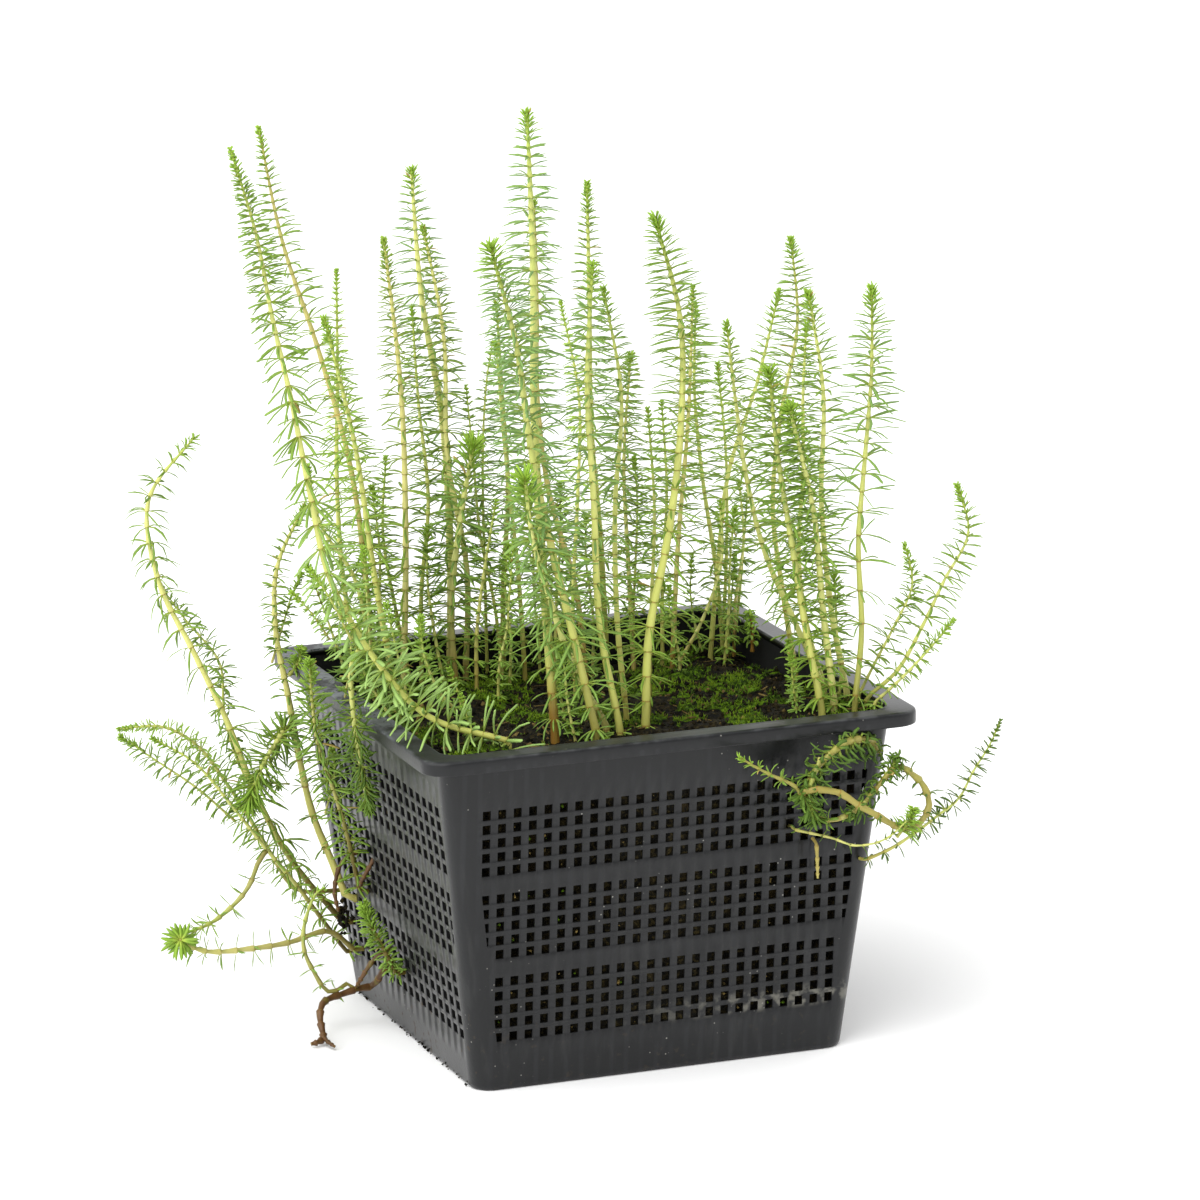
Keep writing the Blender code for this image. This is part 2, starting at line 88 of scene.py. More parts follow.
def makePiece(name, parts, materials, nodes=(), flat=(0, 0)):
    # joins the parts into one mesh on the root body; faces numbered from flat[0] up to flat[1] are not smoothed,
    # which keeps their edges crisp
    places = np.vstack([p[0] for p in parts])
    corners, starts, finishes, at, shift = [], [], [], 0, 0
    for spots, faces, finish, _ in parts:
        for block in faces:
            if len(block):
                corners.append((block + shift).ravel())
                starts.append(at + np.arange(len(block)) * block.shape[1])
                finishes.append(np.full(len(block), finish))
                at += block.size
        shift += len(spots)
    corners, starts, finishes = map(np.concatenate, (corners, starts, finishes))
    number = np.arange(len(starts))
    mesh = bpy.data.meshes.new(name)
    mesh.vertices.add(len(places))
    mesh.vertices.foreach_set("co", (places * mm).astype(np.float32).ravel())
    mesh.loops.add(len(corners))
    mesh.loops.foreach_set("vertex_index", corners.astype(np.int32))
    mesh.polygons.add(len(starts))
    mesh.polygons.foreach_set("loop_start", starts.astype(np.int32))
    mesh.polygons.foreach_set("material_index", finishes.astype(np.int32))
    mesh.polygons.foreach_set("use_smooth", (number < flat[0]) | (number >= flat[1]))
    for key in sorted({k for p in parts for k in p[3]}):
        values = np.concatenate([np.broadcast_to(p[3].get(key, 0.0), len(p[0])) for p in parts])
        mesh.attributes.new(key, "FLOAT", "POINT").data.foreach_set("value", values.astype(np.float32))
    mesh.update(calc_edges=True)
    for material in materials:
        mesh.materials.append(material)
    piece = bpy.data.objects.new(name, mesh)
    bpy.context.collection.objects.link(piece)
    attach(piece, "root")
    if nodes:
        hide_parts(*nodes)
    print(name, len(places), "places,", len(corners) - 2 * len(starts), "triangles")


def tube(centres, across, forward, radii, sides, values):
    # rings of radius r round each centre: centre + r (cos a across + sin a forward); a pole closes each end
    a = np.linspace(0, 2 * np.pi, sides, endpoint=False)
    circle = np.cos(a)[None, :, None] * across[:, None] + np.sin(a)[None, :, None] * forward[:, None]
    rings = centres[:, None] + radii[:, None, None] * circle
    count = len(centres)
    spots = np.vstack([rings.reshape(-1, 3), centres[:1], centres[-1:]])
    fans = np.vstack([fanFaces(0, sides, count * sides, True),
                      fanFaces((count - 1) * sides, sides, count * sides + 1)])
    spread = {k: np.append(np.repeat(v, sides), [v[0], v[-1]]) for k, v in values.items()}
    return spots, [gridFaces(count, sides, True), fans], 0, spread


def scatter(places, shapes, finish, values):
    # copies of a small shape: places by copy and corner, and its faces numbered within one copy
    count, corners = places.shape[:2]
    first = np.arange(count)[:, None, None] * corners
    faces = [(np.array(shape) + first).reshape(-1, len(shape[0])) for shape in shapes]
    return places.reshape(-1, 3), faces, finish, {k: np.repeat(v, corners) for k, v in values.items()}


class Wire:
    # one socket of a material; sums on it become Math nodes
    def __init__(self, tree, socket=None):
        self.tree, self.socket = tree, socket

    def node(self, kind, settings=None, inputs=None, out=0):
        # settings come first, then the values or wires of the inputs, by name or number
        made = self.tree.nodes.new("ShaderNode" + kind)
        for name, value in (settings or {}).items():
            setattr(made, name, value)
        for key, value in (inputs or {}).items():
            if isinstance(value, Wire):
                self.tree.links.new(value.socket, made.inputs[key])
            else:
                made.inputs[key].default_value = value
        return Wire(self.tree, made.outputs[out])

    def sum(self, operation, first, second=0.0):
        return self.node("Math", {"operation": operation}, {0: first, 1: second})

    def __add__(self, other):
        return self.sum("ADD", self, other)

    def __radd__(self, other):
        return self.sum("ADD", other, self)

    def __sub__(self, other):
        return self.sum("SUBTRACT", self, other)

    def __rsub__(self, other):
        return self.sum("SUBTRACT", other, self)

    def __mul__(self, other):
        return self.sum("MULTIPLY", self, other)

    def __rmul__(self, other):
        return self.sum("MULTIPLY", other, self)

    def __pow__(self, other):
        return self.sum("POWER", self, other)

    def between(self, low, high):
        # 0 at low, 1 at high, an S between
        ends = {"Value": self, "From Min": low, "From Max": high}
        return self.node("MapRange", {"interpolation_type": "SMOOTHSTEP"}, ends)

    def axis(self, number):
        return self.node("SeparateXYZ", None, {0: self}, number)

    def mix(self, share, first, second):
        # a colour between two, each a wire or (red, green, blue) as 0-255 on the screen
        first, second = (shade(*c) if isinstance(c, tuple) else c for c in (first, second))
        return self.node("Mix", {"data_type": "RGBA"}, {0: share, 6: first, 7: second}, 2)

    def coats(self, colour, *layers):
        # colours laid over a colour, each (share, colour)
        for share, layer in layers:
            colour = self.mix(share, colour, layer)
        return colour

    def value(self, name):
        return self.node("Attribute", {"attribute_name": name}, None, 2)

    def place(self):
        return self.node("TexCoord", None, None, 3)

    def noise(self, size, detail=3.0, stretch=(1, 1, 1)):
        # noise with features of about `size` mm, stretched along the axes
        place = self.node("Mapping", None, {"Vector": self.place(), "Scale": [1 / s for s in stretch]})
        return self.node("TexNoise", None, {"Vector": place, "Scale": 1000 / size, "Detail": detail})

    def cells(self, size):
        return self.node("TexVoronoi", None, {"Vector": self.place(), "Scale": 1000 / size})

    def bump(self, height, depth, strength=1.0):
        return self.node("Bump", None, {"Height": height, "Distance": depth * mm, "Strength": strength})


def shade(r, g, b):
    # a colour given as 0-255 on the screen, as Blender's linear one
    def lift(c):
        c /= 255
        return c / 12.92 if c <= 0.04045 else ((c + 0.055) / 1.055) ** 2.4
    return (lift(r), lift(g), lift(b), 1.0)


def newMaterial(name):
    # an empty material and the wire that adds nodes to it
    material = bpy.data.materials.new(name)
    material.use_nodes = True
    material.node_tree.nodes.clear()
    return material, Wire(material.node_tree)


def finishMaterial(material, w, colour, rough, shine, normal=None):
    # the shader at the end, whose inputs are plain values or wires
    inputs = {"Base Color": colour, "Roughness": rough, "Specular IOR Level": shine}
    if normal is not None:
        inputs["Normal"] = normal
    end = material.node_tree.nodes.new("ShaderNodeOutputMaterial")
    material.node_tree.links.new(w.node("BsdfPrincipled", None, inputs).socket, end.inputs[0])
    return material


# the basket; sizes in mm. Walls lean out from "floorHalf" at the floor to "rimHalf" at "rimFoot" under the rim,
# "rings" are the heights of the plain rows, and the margins keep the holes off the walls' ends
basketSize = {
    "floorHalf": 72.2, "rimHalf": 87.2, "rimFoot": 129.6, "high": 131.0, "lip": 7.8, "skirt": 5.2, "corner": 8.0,
    "wall": 1.0, "floor": 1.4, "rings": [2.0, 10, 118, 129.0], "leftMargin": 9.8, "rightMargin": 7.0, "hole": 3.0,
    "pitch": 5.83, "sideHole": 4.1, "sidePitch": 7.15, "holeHigh": 3.5, "topRow": 107.0, "rowPitch": 5.38,
    "holeRows": [0, 1, 2, 3, 4, 6, 7, 8, 9, 10, 12, 13, 14, 15, 16]}
holesAside = 13  # hole columns on each side of a wall's middle one


def wallHalf(z):
    # half the basket's outer width at height z
    b = basketSize
    return b["floorHalf"] + (b["rimHalf"] - b["floorHalf"]) * np.clip(z / b["rimFoot"], 0.0, 1.0)


def turned(side, x, y, z):
    # a place on the front carried round to wall number `side`: 0 front, 1 right, 2 back, 3 left
    c, s = (1, 0, -1, 0)[side], (0, 1, 0, -1)[side]
    return np.stack(np.broadcast_arrays(x * c - y * s, x * s + y * c, z), axis=-1)


def wallSpot(side, u, depth, z):
    # place on a wall, u along it and depth in from its outside
    return turned(side, u, depth - wallHalf(z), z)


def squareRing(half, radius, z, steps):
    # rounded squares: each corner is an arc of radius r round a middle that is half - r out both ways
    a = np.linspace(0, np.pi / 2, steps)
    flat = half - radius
    arcs = [turned(side, flat + radius * np.sin(a), -flat - radius * np.cos(a), z) for side in range(4)]
    return np.concatenate(arcs, axis=-2)


def wallGrid(depth, rows):
    # one ring of columns round the basket: 4 walls of hole columns joined by round corners, at each height;
    # columns that meet the margin are squeezed there, a hundredth of a millimetre apart
    b = basketSize
    z = rows[:, None]
    half = wallHalf(z)
    flat, radius = half - b["corner"], b["corner"] - depth
    a = np.linspace(0, np.pi / 2, 8)[1:-1]
    apart = np.arange(-2 * holesAside - 1, 2 * holesAside + 1) * 0.01
    blocks = []
    for side in range(4):
        pitch, hole = (b["sidePitch"], b["sideHole"]) if side % 2 else (b["pitch"], b["hole"])
        holes = np.arange(-holesAside, holesAside + 1) * pitch
        edges = np.sort(np.concatenate([holes - hole / 2, holes + hole / 2]))
        u = np.clip(edges, b["leftMargin"] - half, half - b["rightMargin"])
        u = np.concatenate([-flat, np.clip(u, 0.4 - flat, flat - 0.4) + apart, flat], axis=1)
        blocks.append(turned(side, u, depth - half, z))
        blocks.append(turned(side, flat + radius * np.sin(a), -flat - radius * np.cos(a), z))
    return np.concatenate(blocks, axis=1)


def basketParts():
    # walls: an outer and an inner grid, open where a hole column meets a hole row, with sides joining both;
    # rim: a section of the lip carried round a rounded square; floor: rings that close to a point
    b = basketSize
    holeRows = b["topRow"] - b["rowPitch"] * np.array(b["holeRows"])
    rows = np.sort(np.concatenate([holeRows - b["holeHigh"] / 2, holeRows + b["holeHigh"] / 2, b["rings"]]))
    outer, inner = wallGrid(0.0, rows), wallGrid(b["wall"], rows)
    count = outer.shape[1]
    column = np.arange(count) % (count // 4)
    holeColumn = (column < 4 * holesAside + 3) & (column % 2 == 1)
    holeRow = np.abs((rows[1:] + rows[:-1])[:, None] / 2 - holeRows).min(axis=1) < 0.5
    width = np.linalg.norm(np.roll(outer, -1, axis=1) - outer, axis=-1)
    hole = holeRow[:, None] & holeColumn & (np.minimum(width[:-1], width[1:]) > 0.5)
    faces = gridFaces(len(rows), count, True)[~hole.ravel()]
    shift = len(rows) * count
    here = np.arange(shift).reshape(len(rows), count)
    after = np.roll(here, -1, axis=1)
    left, right = hole & ~np.roll(hole, 1, axis=1), hole & ~np.roll(hole, -1, axis=1)
    sides = ((here[:-1], after[:-1], hole), (after[1:], here[1:], hole), (here[1:], here[:-1], left),
             (after[:-1], after[1:], right))
    solid = [faces, faces[:, ::-1] + shift]
    solid += [np.stack([p[at], q[at], q[at] + shift, p[at] + shift], 1) for p, q, at in sides]
    walls = np.vstack([outer.reshape(-1, 3), inner.reshape(-1, 3)])
    # inside is 0 on the outer wall and 1 on the inner one; the skin paints the inner wall and the hole sides near
    # black as painted shade
    parts = [(walls, solid, 0, {"inside": np.repeat([0.0, 1.0], shift)})]
    # section of the lip: how far out of the wall, how high and how much painted highlight, clockwise from the wall's
    # outside
    o, h, low = b["lip"], b["high"], b["high"] - b["skirt"]
    section = np.array([
        [-1.4, 128.6, 0], [0, 128.6, 0], [0.6, 129.2, 0], [o - 2.2, 129.2, 0], [o - 1.5, 128.5, 0],
        [o - 1.3, low, 0], [o - 0.5, low - 0.1, 0], [o - 0.1, low, 0.2], [o, low + 0.4, 0.1], [o, h - 1.4, 0],
        [o - 0.1, h - 0.8, 0.3], [o - 0.4, h - 0.35, 1], [o - 0.9, h - 0.1, 0.7], [o - 1.5, h, 0.1],
        [0.4, h - 0.1, 0], [-0.4, h - 0.05, 0.2], [-0.9, h + 0.05, 1], [-1.3, h - 0.15, 1], [-1.4, h - 0.9, 0.1]])
    aside, high = section[:, :1], section[:, 1:2]
    rim = squareRing(b["rimHalf"] + aside, b["corner"] + 2.0 * aside / o, high, 12).transpose(1, 0, 2)
    loop = gridFaces(rim.shape[0], rim.shape[1], True, True)[:, ::-1]
    parts.append((rim.reshape(-1, 3), [loop], 0, {"worn": np.tile(section[:, 2], len(rim))}))
    # the floor's outside is rounded by 2 mm under the walls; each row is how far in from the wall and how high
    inset, z = np.array([[0.0, 2.0], [0.25, 1.0], [0.9, 0.3], [2.0, 0.0], [20.0, 0.0], [60.0, 0.0]]).T[..., None]
    for lift, flip in ((0.0, True), (b["floor"], False)):
        rings = squareRing(wallHalf(2.0) - inset - lift, np.maximum(b["corner"] - inset - lift, 1.5),
                           z + lift * (z < 2), 8)
        spots = np.vstack([rings.reshape(-1, 3), [[0, 0, lift]]])
        count = rings.shape[1]
        faces = gridFaces(len(rings), count, True), fanFaces((len(rings) - 1) * count, count, len(spots) - 1)
        parts.append((spots, [f[:, ::-1] if flip else f for f in faces], 0, {}))
    return parts


def plasticSkin():
    # black moulded plastic: fine grain, moulding lines between the hole columns, streaks, a pale smear, dust, a
    # cracked rim whose left top carries dust and a painted sheen, dirt; painted highlights along the rim's top edges,
    # and painted shade, near black, on the inner wall and the hole sides
    material, w = newMaterial("blackPlastic")
    place = w.place()
    x, y, z = place.axis(0), place.axis(1), place.axis(2)
    grain, broad, blotch = w.noise(1.2, 4), w.noise(30, 3), w.noise(9, 5)
    dust = w.cells(3.2).between(0.12, 0.04) * w.noise(20, 2).between(0.5, 0.62)
    front = (y * y - x * x).between(-0.0002, 0.0002)
    # a line between two holes is where the cosine of the place along the wall is lowest
    frontLines = (0 - w.sum("COSINE", x * (math.tau / basketSize["pitch"] / mm))).between(0.2, 1.0)
    sideLines = (0 - w.sum("COSINE", y * (math.tau / basketSize["sidePitch"] / mm))).between(0.2, 1.0)
    rib = frontLines * front + sideLines * (1 - front)
    rib = rib * z.between(0.1285, 0.1275) * w.noise(14, 3).between(0.35, 0.6)
    top = z.between(0.1298, 0.1306)
    left = (0 - x).between(0.062, 0.082)
    # a little dust on the whole rim top, and on its left towards the back a light bluish grey that is partly dust,
    # partly painted sheen
    dustAndSheen = top * (0.04 + 0.8 * left * y.between(-0.085, -0.03)) * blotch.between(0.35, 0.6)
    cracks = ((w.noise(6, 2) - 0.5) ** 2).between(0.0008, 0.0001) * top * left * y.between(-0.06, -0.01)
    smear = z.between(0.0175, 0.0205) * z.between(0.0285, 0.0235) * x.between(-0.03, 0.05)
    smear = smear * (0 - y).between(0.06, 0.065) * w.noise(5, 4).between(0.45, 0.6)
    streaks = w.noise(4, 4, (1, 1, 7)).between(0.52, 0.75) * z.between(0.13, 0.04)
    clods = w.noise(3.5, 4).between(0.62, 0.7) * z.between(0.05, 0.0) * (1 - 0.7 * front)
    # painted highlight: lighter grey lines, broken by noise, along the rim's outer and inner top edges
    worn = w.value("worn") * w.noise(7, 4).between(0.4, 0.65)
    colour = w.coats(w.mix(broad, (10, 11, 12), (20, 21, 23)),
                     (rib * (0.12 + 0.24 * front), (36, 37, 40)), (streaks * 0.35, (48, 48, 48)),
                     (clods * 0.7, (70, 58, 40)), (smear * 0.6, (120, 118, 108)), (dustAndSheen, (112, 116, 120)),
                     (cracks, (14, 14, 15)), (worn * 0.3, (104, 106, 108)), (dust * 0.6, (170, 168, 160)),
                     # painted shade: the inner wall and the hole sides near black, as if in shadow
                     (w.value("inside").between(0.0, 0.15), (7, 7, 7)))
    rough = 0.24 + 0.5 * w.value("inside") + 0.14 * broad + 0.3 * clods + 0.25 * top * left
    return finishMaterial(material, w, colour, rough, 0.35, w.bump(grain, 0.12, 0.5))


walls, *others = basketParts()
blocks = [len(block) for block in walls[1]]
makePiece("pondBasket", [walls, *others], [plasticSkin()], ["basket"], (sum(blocks[:2]), sum(blocks)))


# Peat, moss and crumbs, in mm: the level and its slope, the grid's columns and the rows down its sides, the gap to
# the walls, the height it starts from and how far litter stays off the rim; then how many there are of each, the
# crumbs in holes by wall, where the clod on the left wall sits and how far the spilled crumbs reach.
peatLook = {"level": 121, "slope": 0.075, "columns": 170, "rows": 46, "clear": 0.7, "foot": 1.9, "edge": 4,
            "tries": 60000, "blades": 9000, "crumbs": 2200, "sticks": 160, "inHoles": {0: 80, 3: 70},
            "holeDepth": 1.9, "clod": 46, "clodAt": (-86, 39, 38.8), "spilled": 60, "spilledTo": 63}


def peatLevel(x, y):
    # height of the peat: a slope down to the back with low waves
    waves = np.sin(x / 13 + 1) * np.cos(y / 11) + 0.6 * np.sin((x - y) / 19)
    return peatLook["level"] - peatLook["slope"] * y + 1.2 * waves


def mossCover(x, y):
    # 1 on moss: broken patches that grow thicker to the right and middle
    patch = 0.9 * roughHills(x, y, 22, 21) + 0.7 * roughHills(x, y, 7, 31) + 0.25 * hills(x, y, 2.6, 35)
    favour = 0.3 * smooth((x + 30) / 60) + 0.25 * smooth((60 - np.hypot(x - 25, y + 10)) / 60) - 0.4
    favour = favour + 0.25 * smooth((30 - np.hypot(x - 10, y + 58)) / 30)
    return smooth((patch + favour) / 0.25)


def peatGround(x, y):
    # the peat's level with rough clods on it, and moss cushions where the moss grows
    clods = 1.3 * roughHills(x, y, 15, 3) + 0.9 * roughHills(x, y, 5, 9) + 0.35 * hills(x, y, 1.7, 12)
    return peatLevel(x, y) + clods + 1.3 * mossCover(x, y)


def peatParts():
    # a square grid squeezed into the basket's round-cornered square, its rim carried down the walls
    n, foot, clear = peatLook["columns"], peatLook["foot"], peatLook["clear"]
    u = np.linspace(-1, 1, n)
    v, w = np.meshgrid(u, u, indexing="ij")
    reach = np.maximum(np.abs(v), np.abs(w))
    k = 1 - 0.22 * smooth((reach - 0.86) / 0.14) * (1 - reach / np.maximum(np.hypot(v, w), 1e-9))
    half = wallHalf(peatLook["level"]) - clear
    x, y = v * k * half, w * k * half
    z = peatGround(x, y) + 0.6 * smooth((reach - 0.95) / 0.05) * hills(x, y, 6, 5)
    top = np.stack([x, y, z], -1).reshape(-1, 3)
    parts = [(top, [gridFaces(n, n)], 0, {"moss": mossCover(x, y).ravel()})]
    order = np.concatenate([np.arange(n) * n, (n - 1) * n + np.arange(1, n), (np.arange(n - 2, -1, -1)) * n + n - 1,
                            np.arange(n - 2, 0, -1)])
    x, y, z = top[order].T[:, None]
    down = np.append(np.linspace(0, 1, peatLook["rows"]), 1.0)[:, None]  # the last row twice, for a crisp edge
    z = z * (1 - down) + foot * down
    pits = 0.7 * (hills(x + y * 1.7, z, 5, 41) - 0.6) * smooth(down * 12) * smooth((1 - down) * 12)
    shrink = (wallHalf(z) - clear + pits) / half
    side = np.stack([x * shrink, y * shrink, z], -1)
    rows, count = side.shape[:2]
    fan = fanFaces((rows - 1) * count, count, rows * count, True)
    parts.append((np.vstack([side.reshape(-1, 3), [[0, 0, foot]]]), [gridFaces(rows, count, True), fan], 0, {}))
    return parts


def lumps(spots, sizes, rng, values):
    # eight-faced lumps: six corners at uneven distances along three crossed axes
    corners = np.array([[1, 0, 0], [0, 1, 0], [-1, 0, 0], [0, -1, 0], [0, 0, 1], [0, 0, -1]], dtype=float)
    places = spots[:, None] + corners * (sizes[:, None, None] * rng.uniform(0.45, 1.1, (len(spots), 6, 1)))
    places += rng.normal(0, 0.12, places.shape) * sizes[:, None, None]
    faces = [[a, (a + 1) % 4, 4] for a in range(4)] + [[(a + 1) % 4, a, 5] for a in range(4)]
    return scatter(places, [faces], 0, values)


def blades(spots, leans, sizes, rng):
    # three-sided spikes: a small triangle and a point above it that leans over
    a = rng.uniform(0, 2 * np.pi, len(spots))[:, None] + np.array([0, 2.1, 4.2])
    foot = spots[:, None] + np.stack([np.cos(a), np.sin(a), 0 * a], -1) * (sizes * 0.16)[:, None, None]
    places = np.concatenate([foot, (spots + leans * sizes[:, None])[:, None]], axis=1)
    part = scatter(places, [[[0, 1, 3], [1, 2, 3], [2, 0, 3], [2, 1, 0]]], 1, {})
    part[3]["tipward"] = np.tile([0.0, 0.0, 0.0, 1.0], len(spots))
    return part


def sticks(spots, runs, lengths, thick, values):
    # three-sided prisms, each along its own run
    aside = unit(np.cross(runs, [0.3, 0.2, 1.0]))
    other = np.cross(runs, aside)
    a = np.array([0, 2.1, 4.2])
    ring = (aside[:, None] * np.cos(a)[:, None] + other[:, None] * np.sin(a)[:, None]) * thick[:, None, None] / 2
    ends = runs[:, None] * lengths[:, None, None] / 2
    places = np.concatenate([spots[:, None] - ends + ring, spots[:, None] + ends + ring * 0.7], axis=1)
    return scatter(places, [[[0, 1, 4, 3], [1, 2, 5, 4], [2, 0, 3, 5]], [[2, 1, 0], [3, 4, 5]]], 0, values)


def litterParts():
    # moss spikes, crumbs of peat and bits of dead stalk over the peat, crumbs in holes, clods outside the basket
    rng = np.random.default_rng(5)
    look = peatLook
    half = wallHalf(look["level"]) - look["edge"]
    x, y = rng.uniform(-half, half, (2, look["tries"]))
    cover = mossCover(x, y)
    chosen = np.flatnonzero(rng.uniform(0.2, 1.4, len(x)) < cover)[:look["blades"]]
    x, y, cover = x[chosen], y[chosen], cover[chosen]
    lean = unit(np.stack([rng.normal(0, 0.5, len(x)), rng.normal(0, 0.5, len(x)), np.ones(len(x))], -1))
    spots = np.stack([x, y, peatGround(x, y) - 0.3], -1)
    parts = [blades(spots, lean, rng.uniform(0.5, 1.8, len(x)) * (0.5 + cover), rng)]
    x, y = rng.uniform(-half, half, (2, look["crumbs"]))
    sizes = rng.uniform(0.5, 1.5, len(x)) * rng.uniform(0.5, 1.6, len(x))
    pale = (rng.uniform(0, 1, len(x)) < 0.1) * rng.uniform(0.2, 1, len(x))
    parts.append(lumps(np.stack([x, y, peatGround(x, y) + 0.2], -1), sizes, rng, {"pale": pale}))
    x, y = rng.uniform(-half, half, (2, look["sticks"]))
    run = unit(np.stack([rng.normal(0, 1, len(x)), rng.normal(0, 1, len(x)), rng.normal(0, 0.25, len(x))], -1))
    spots = np.stack([x, y, peatGround(x, y) + 0.5], -1)
    pale = rng.uniform(0.2, 1, len(x))
    parts.append(sticks(spots, run, rng.uniform(2, 9, len(x)), rng.uniform(0.4, 1.0, len(x)), {"pale": pale}))
    b = basketSize
    z = b["topRow"] - b["rowPitch"] * rng.choice(b["holeRows"], sum(look["inHoles"].values()))
    for side, count in look["inHoles"].items():
        row, z = z[:count], z[count:]
        u = b["pitch"] * rng.integers(-11, 12, count) + rng.uniform(-0.8, 0.8, count)
        spots = wallSpot(side, u, look["holeDepth"], row + rng.uniform(-1, 0.3, count))
        sizes = rng.uniform(0.4, 1.3, count)
        values = {"pale": rng.uniform(0.1, 1, count), "moss": (rng.uniform(0, 1, count) < 0.25) * 1.0}
        parts.append(lumps(spots, sizes, rng, values))
    count = look["clod"]
    clod = np.array(look["clodAt"]) + rng.normal(0, 1, (count, 3)) * [0.9, 1.6, 2.6]
    parts.append(lumps(clod, rng.uniform(0.7, 1.6, count), rng, {}))
    count = look["spilled"]
    edge = wallSpot(3, rng.uniform(-1, 1, count) * look["spilledTo"], -0.3, 1.2) + rng.normal(0, 0.5, (count, 3))
    edge[:, 2] = np.maximum(edge[:, 2], 0.9)
    parts.append(lumps(edge, rng.uniform(0.3, 0.8, count), rng, {}))
    return parts


def peatSkin():
    # wet black peat with brown fibres, green where moss covers it
    material, w = newMaterial("wetPeat")
    fine, broad = w.noise(1.6, 5), w.noise(9, 3)
    green = w.mix(fine.between(0.3, 0.7), (28, 42, 3), (96, 130, 18))
    colour = w.coats(w.mix(fine.between(0.42, 0.78), (7, 6, 2), (56, 48, 22)),
                     (broad.between(0.55, 0.7) * 0.4, (62, 50, 22)), (w.value("pale"), (136, 116, 66)),
                     ((w.value("moss") + 0.9 * (broad - 0.5)).between(0.4, 0.7), green))
    return finishMaterial(material, w, colour, 0.85, 0.15, w.bump(fine + 0.5 * w.noise(0.6, 3), 1.2))


def mossSkin():
    # yellow-green spikes, darker at the foot, brighter on some cushions
    material, w = newMaterial("moss")
    patches = (w.noise(14, 2) + w.noise(3, 2)) * 0.5
    colour = w.coats(w.mix(patches.between(0.42, 0.58), (44, 68, 6), (122, 152, 26)),
                     ((1 - w.value("tipward")) * 0.6, (26, 36, 3)))
    return finishMaterial(material, w, colour, 0.7, 0.15)


makePiece("peatBed", peatParts() + litterParts(), [peatSkin(), mossSkin()], ["soil"])


# Kinds of growth: gap between whorls in mm and how much it widens downwards, leaf width, leaves a whorl, angle of
# a grown leaf above its whorl, how far its tip bends down, sideways curl, share of leaves kept, sag, length of
# the crown's leaves beside grown ones, how far down the crown stays closed and how far down leaves still grow,
# width near the point, and the length over which the stem thickens.
habitNames = "pitch stretch wide leaves rise bend curl kept sag crown closed ripe blunt taper".split()
habits = {
    "upright": (4.3, 1.2, 1.05, 10, 12, 30, 0.16, 0.98, 0.05, 0.22, 9, 28, 0.6, 75),
    "plume": (3.4, 1.7, 1, 11, 12, 22, 0.14, 0.98, 0.04, 0.24, 7, 20, 0.6, 75),
    "slow": (3.4, 1.5, 1.1, 9, 12, 30, 0.16, 0.96, 0.05, 0.18, 16, 48, 0.7, 75),
    "airy": (3.8, 2.6, 1.1, 8, 14, 30, 0.16, 0.95, 0.04, 0.26, 12, 24, 0.7, 75),
    "brush": (3.6, 1.4, 1.1, 12, 14, 30, 0.15, 1, 0.04, 0.33, 5, 24, 0.65, 75),
    "tulip": (5.4, 0.9, 1.2, 11, 8, 30, 0.15, 1, 0.06, 0.48, 15, 18, 0.75, 75),
    "bent": (0, 0, 1.1, 11, 6, 24, 0.16, 1, 0.02, 0.16, 14, 44, 0.85, 75),
    "trailing": (4, 0.6, 1.15, 9, 20, 44, 0.3, 0.95, 0.05, 0.3, 12, 18, 0.75, 75),
    "thread": (6, 0.2, 0.8, 5, 30, 40, 0.3, 0.8, 0.05, 0.2, 12, 20, 0.5, 75),
    "knot": (4.6, 0.2, 1.5, 8, 50, 230, 0.3, 0.9, 0.3, 0.8, 8, 10, 0.75, 8),
    "claw": (7.5, 0.1, 1.2, 5, 40, 110, 0.3, 0.9, 0, 0.5, 12, 16, 0.6, 30),
    "bare": (7.5, 0.1, 1, 5, 14, 40, 0.3, 0.85, 0.05, 0.4, 8, 10, 0.5, 8),
    "burst": (2.2, 0, 1.5, 9, 14, 34, 0.25, 0.95, 0.05, 1.4, 0.8, 5, 0.6, 2),
    "young": (4.2, 0.9, 1.15, 9, 16, 34, 0.22, 0.95, 0.05, 0.4, 10, 18, 0.7, 75),
    "tuft": (3.6, 0.2, 1.6, 8, 40, 220, 0.4, 0.9, 0.2, 0.9, 14, 8, 0.7, 10),
    "loop": (9, 0, 1.3, 6, 40, 120, 0.4, 0.75, 0.1, 1, 4, 16, 0.6, 1),
    "lush": (2.8, 0.2, 1.2, 8, 26, 70, 0.4, 0.9, 0.2, 0.5, 8, 8, 0.5, 10),
    "clump": (6.5, 0.5, 1.1, 8, 6, 60, 0.35, 0.85, 0.2, 0.4, 16, 20, 0.5, 40),
    "shade": (3.4, 0.1, 1.2, 10, 10, 60, 0.4, 0.9, 0.25, 0.3, 12, 12, 0.5, 40),
    "thick": (2.2, 0.2, 1.3, 9, 24, 50, 0.35, 0.9, 0.12, 0.6, 12, 8, 0.7, 10),
    "root": (7, 0, 0.4, 2, 20, 30, 0.5, 0.3, 0, 0.2, 12, 16, 0.5, 3),
}
habits = {kind: dict(zip(habitNames, row)) for kind, row in habits.items()}
# whorls whose gaps follow their distance from the tip instead
habits["bent"]["gaps"] = [0, 40, 80, 120, 150, 168, 182, 400], [1.2, 2.6, 5.0, 8.5, 9.0, 7.5, 4.6, 3.6]
habits["burst"]["gaps"] = [0, 400], [2.4, 2.4]
# by distance from the bent shoot's tip: length and width of its leaves beside others, and how far they droop
bentLook = {"long": ([0, 60, 150, 180], [0.8, 0.8, 0.84, 0.95]), "wide": ([0, 60, 130, 180], [0.9, 1.0, 1.15, 1.5]),
            "droop": ([60, 100, 160, 185], [0, 30, 30, -4])}


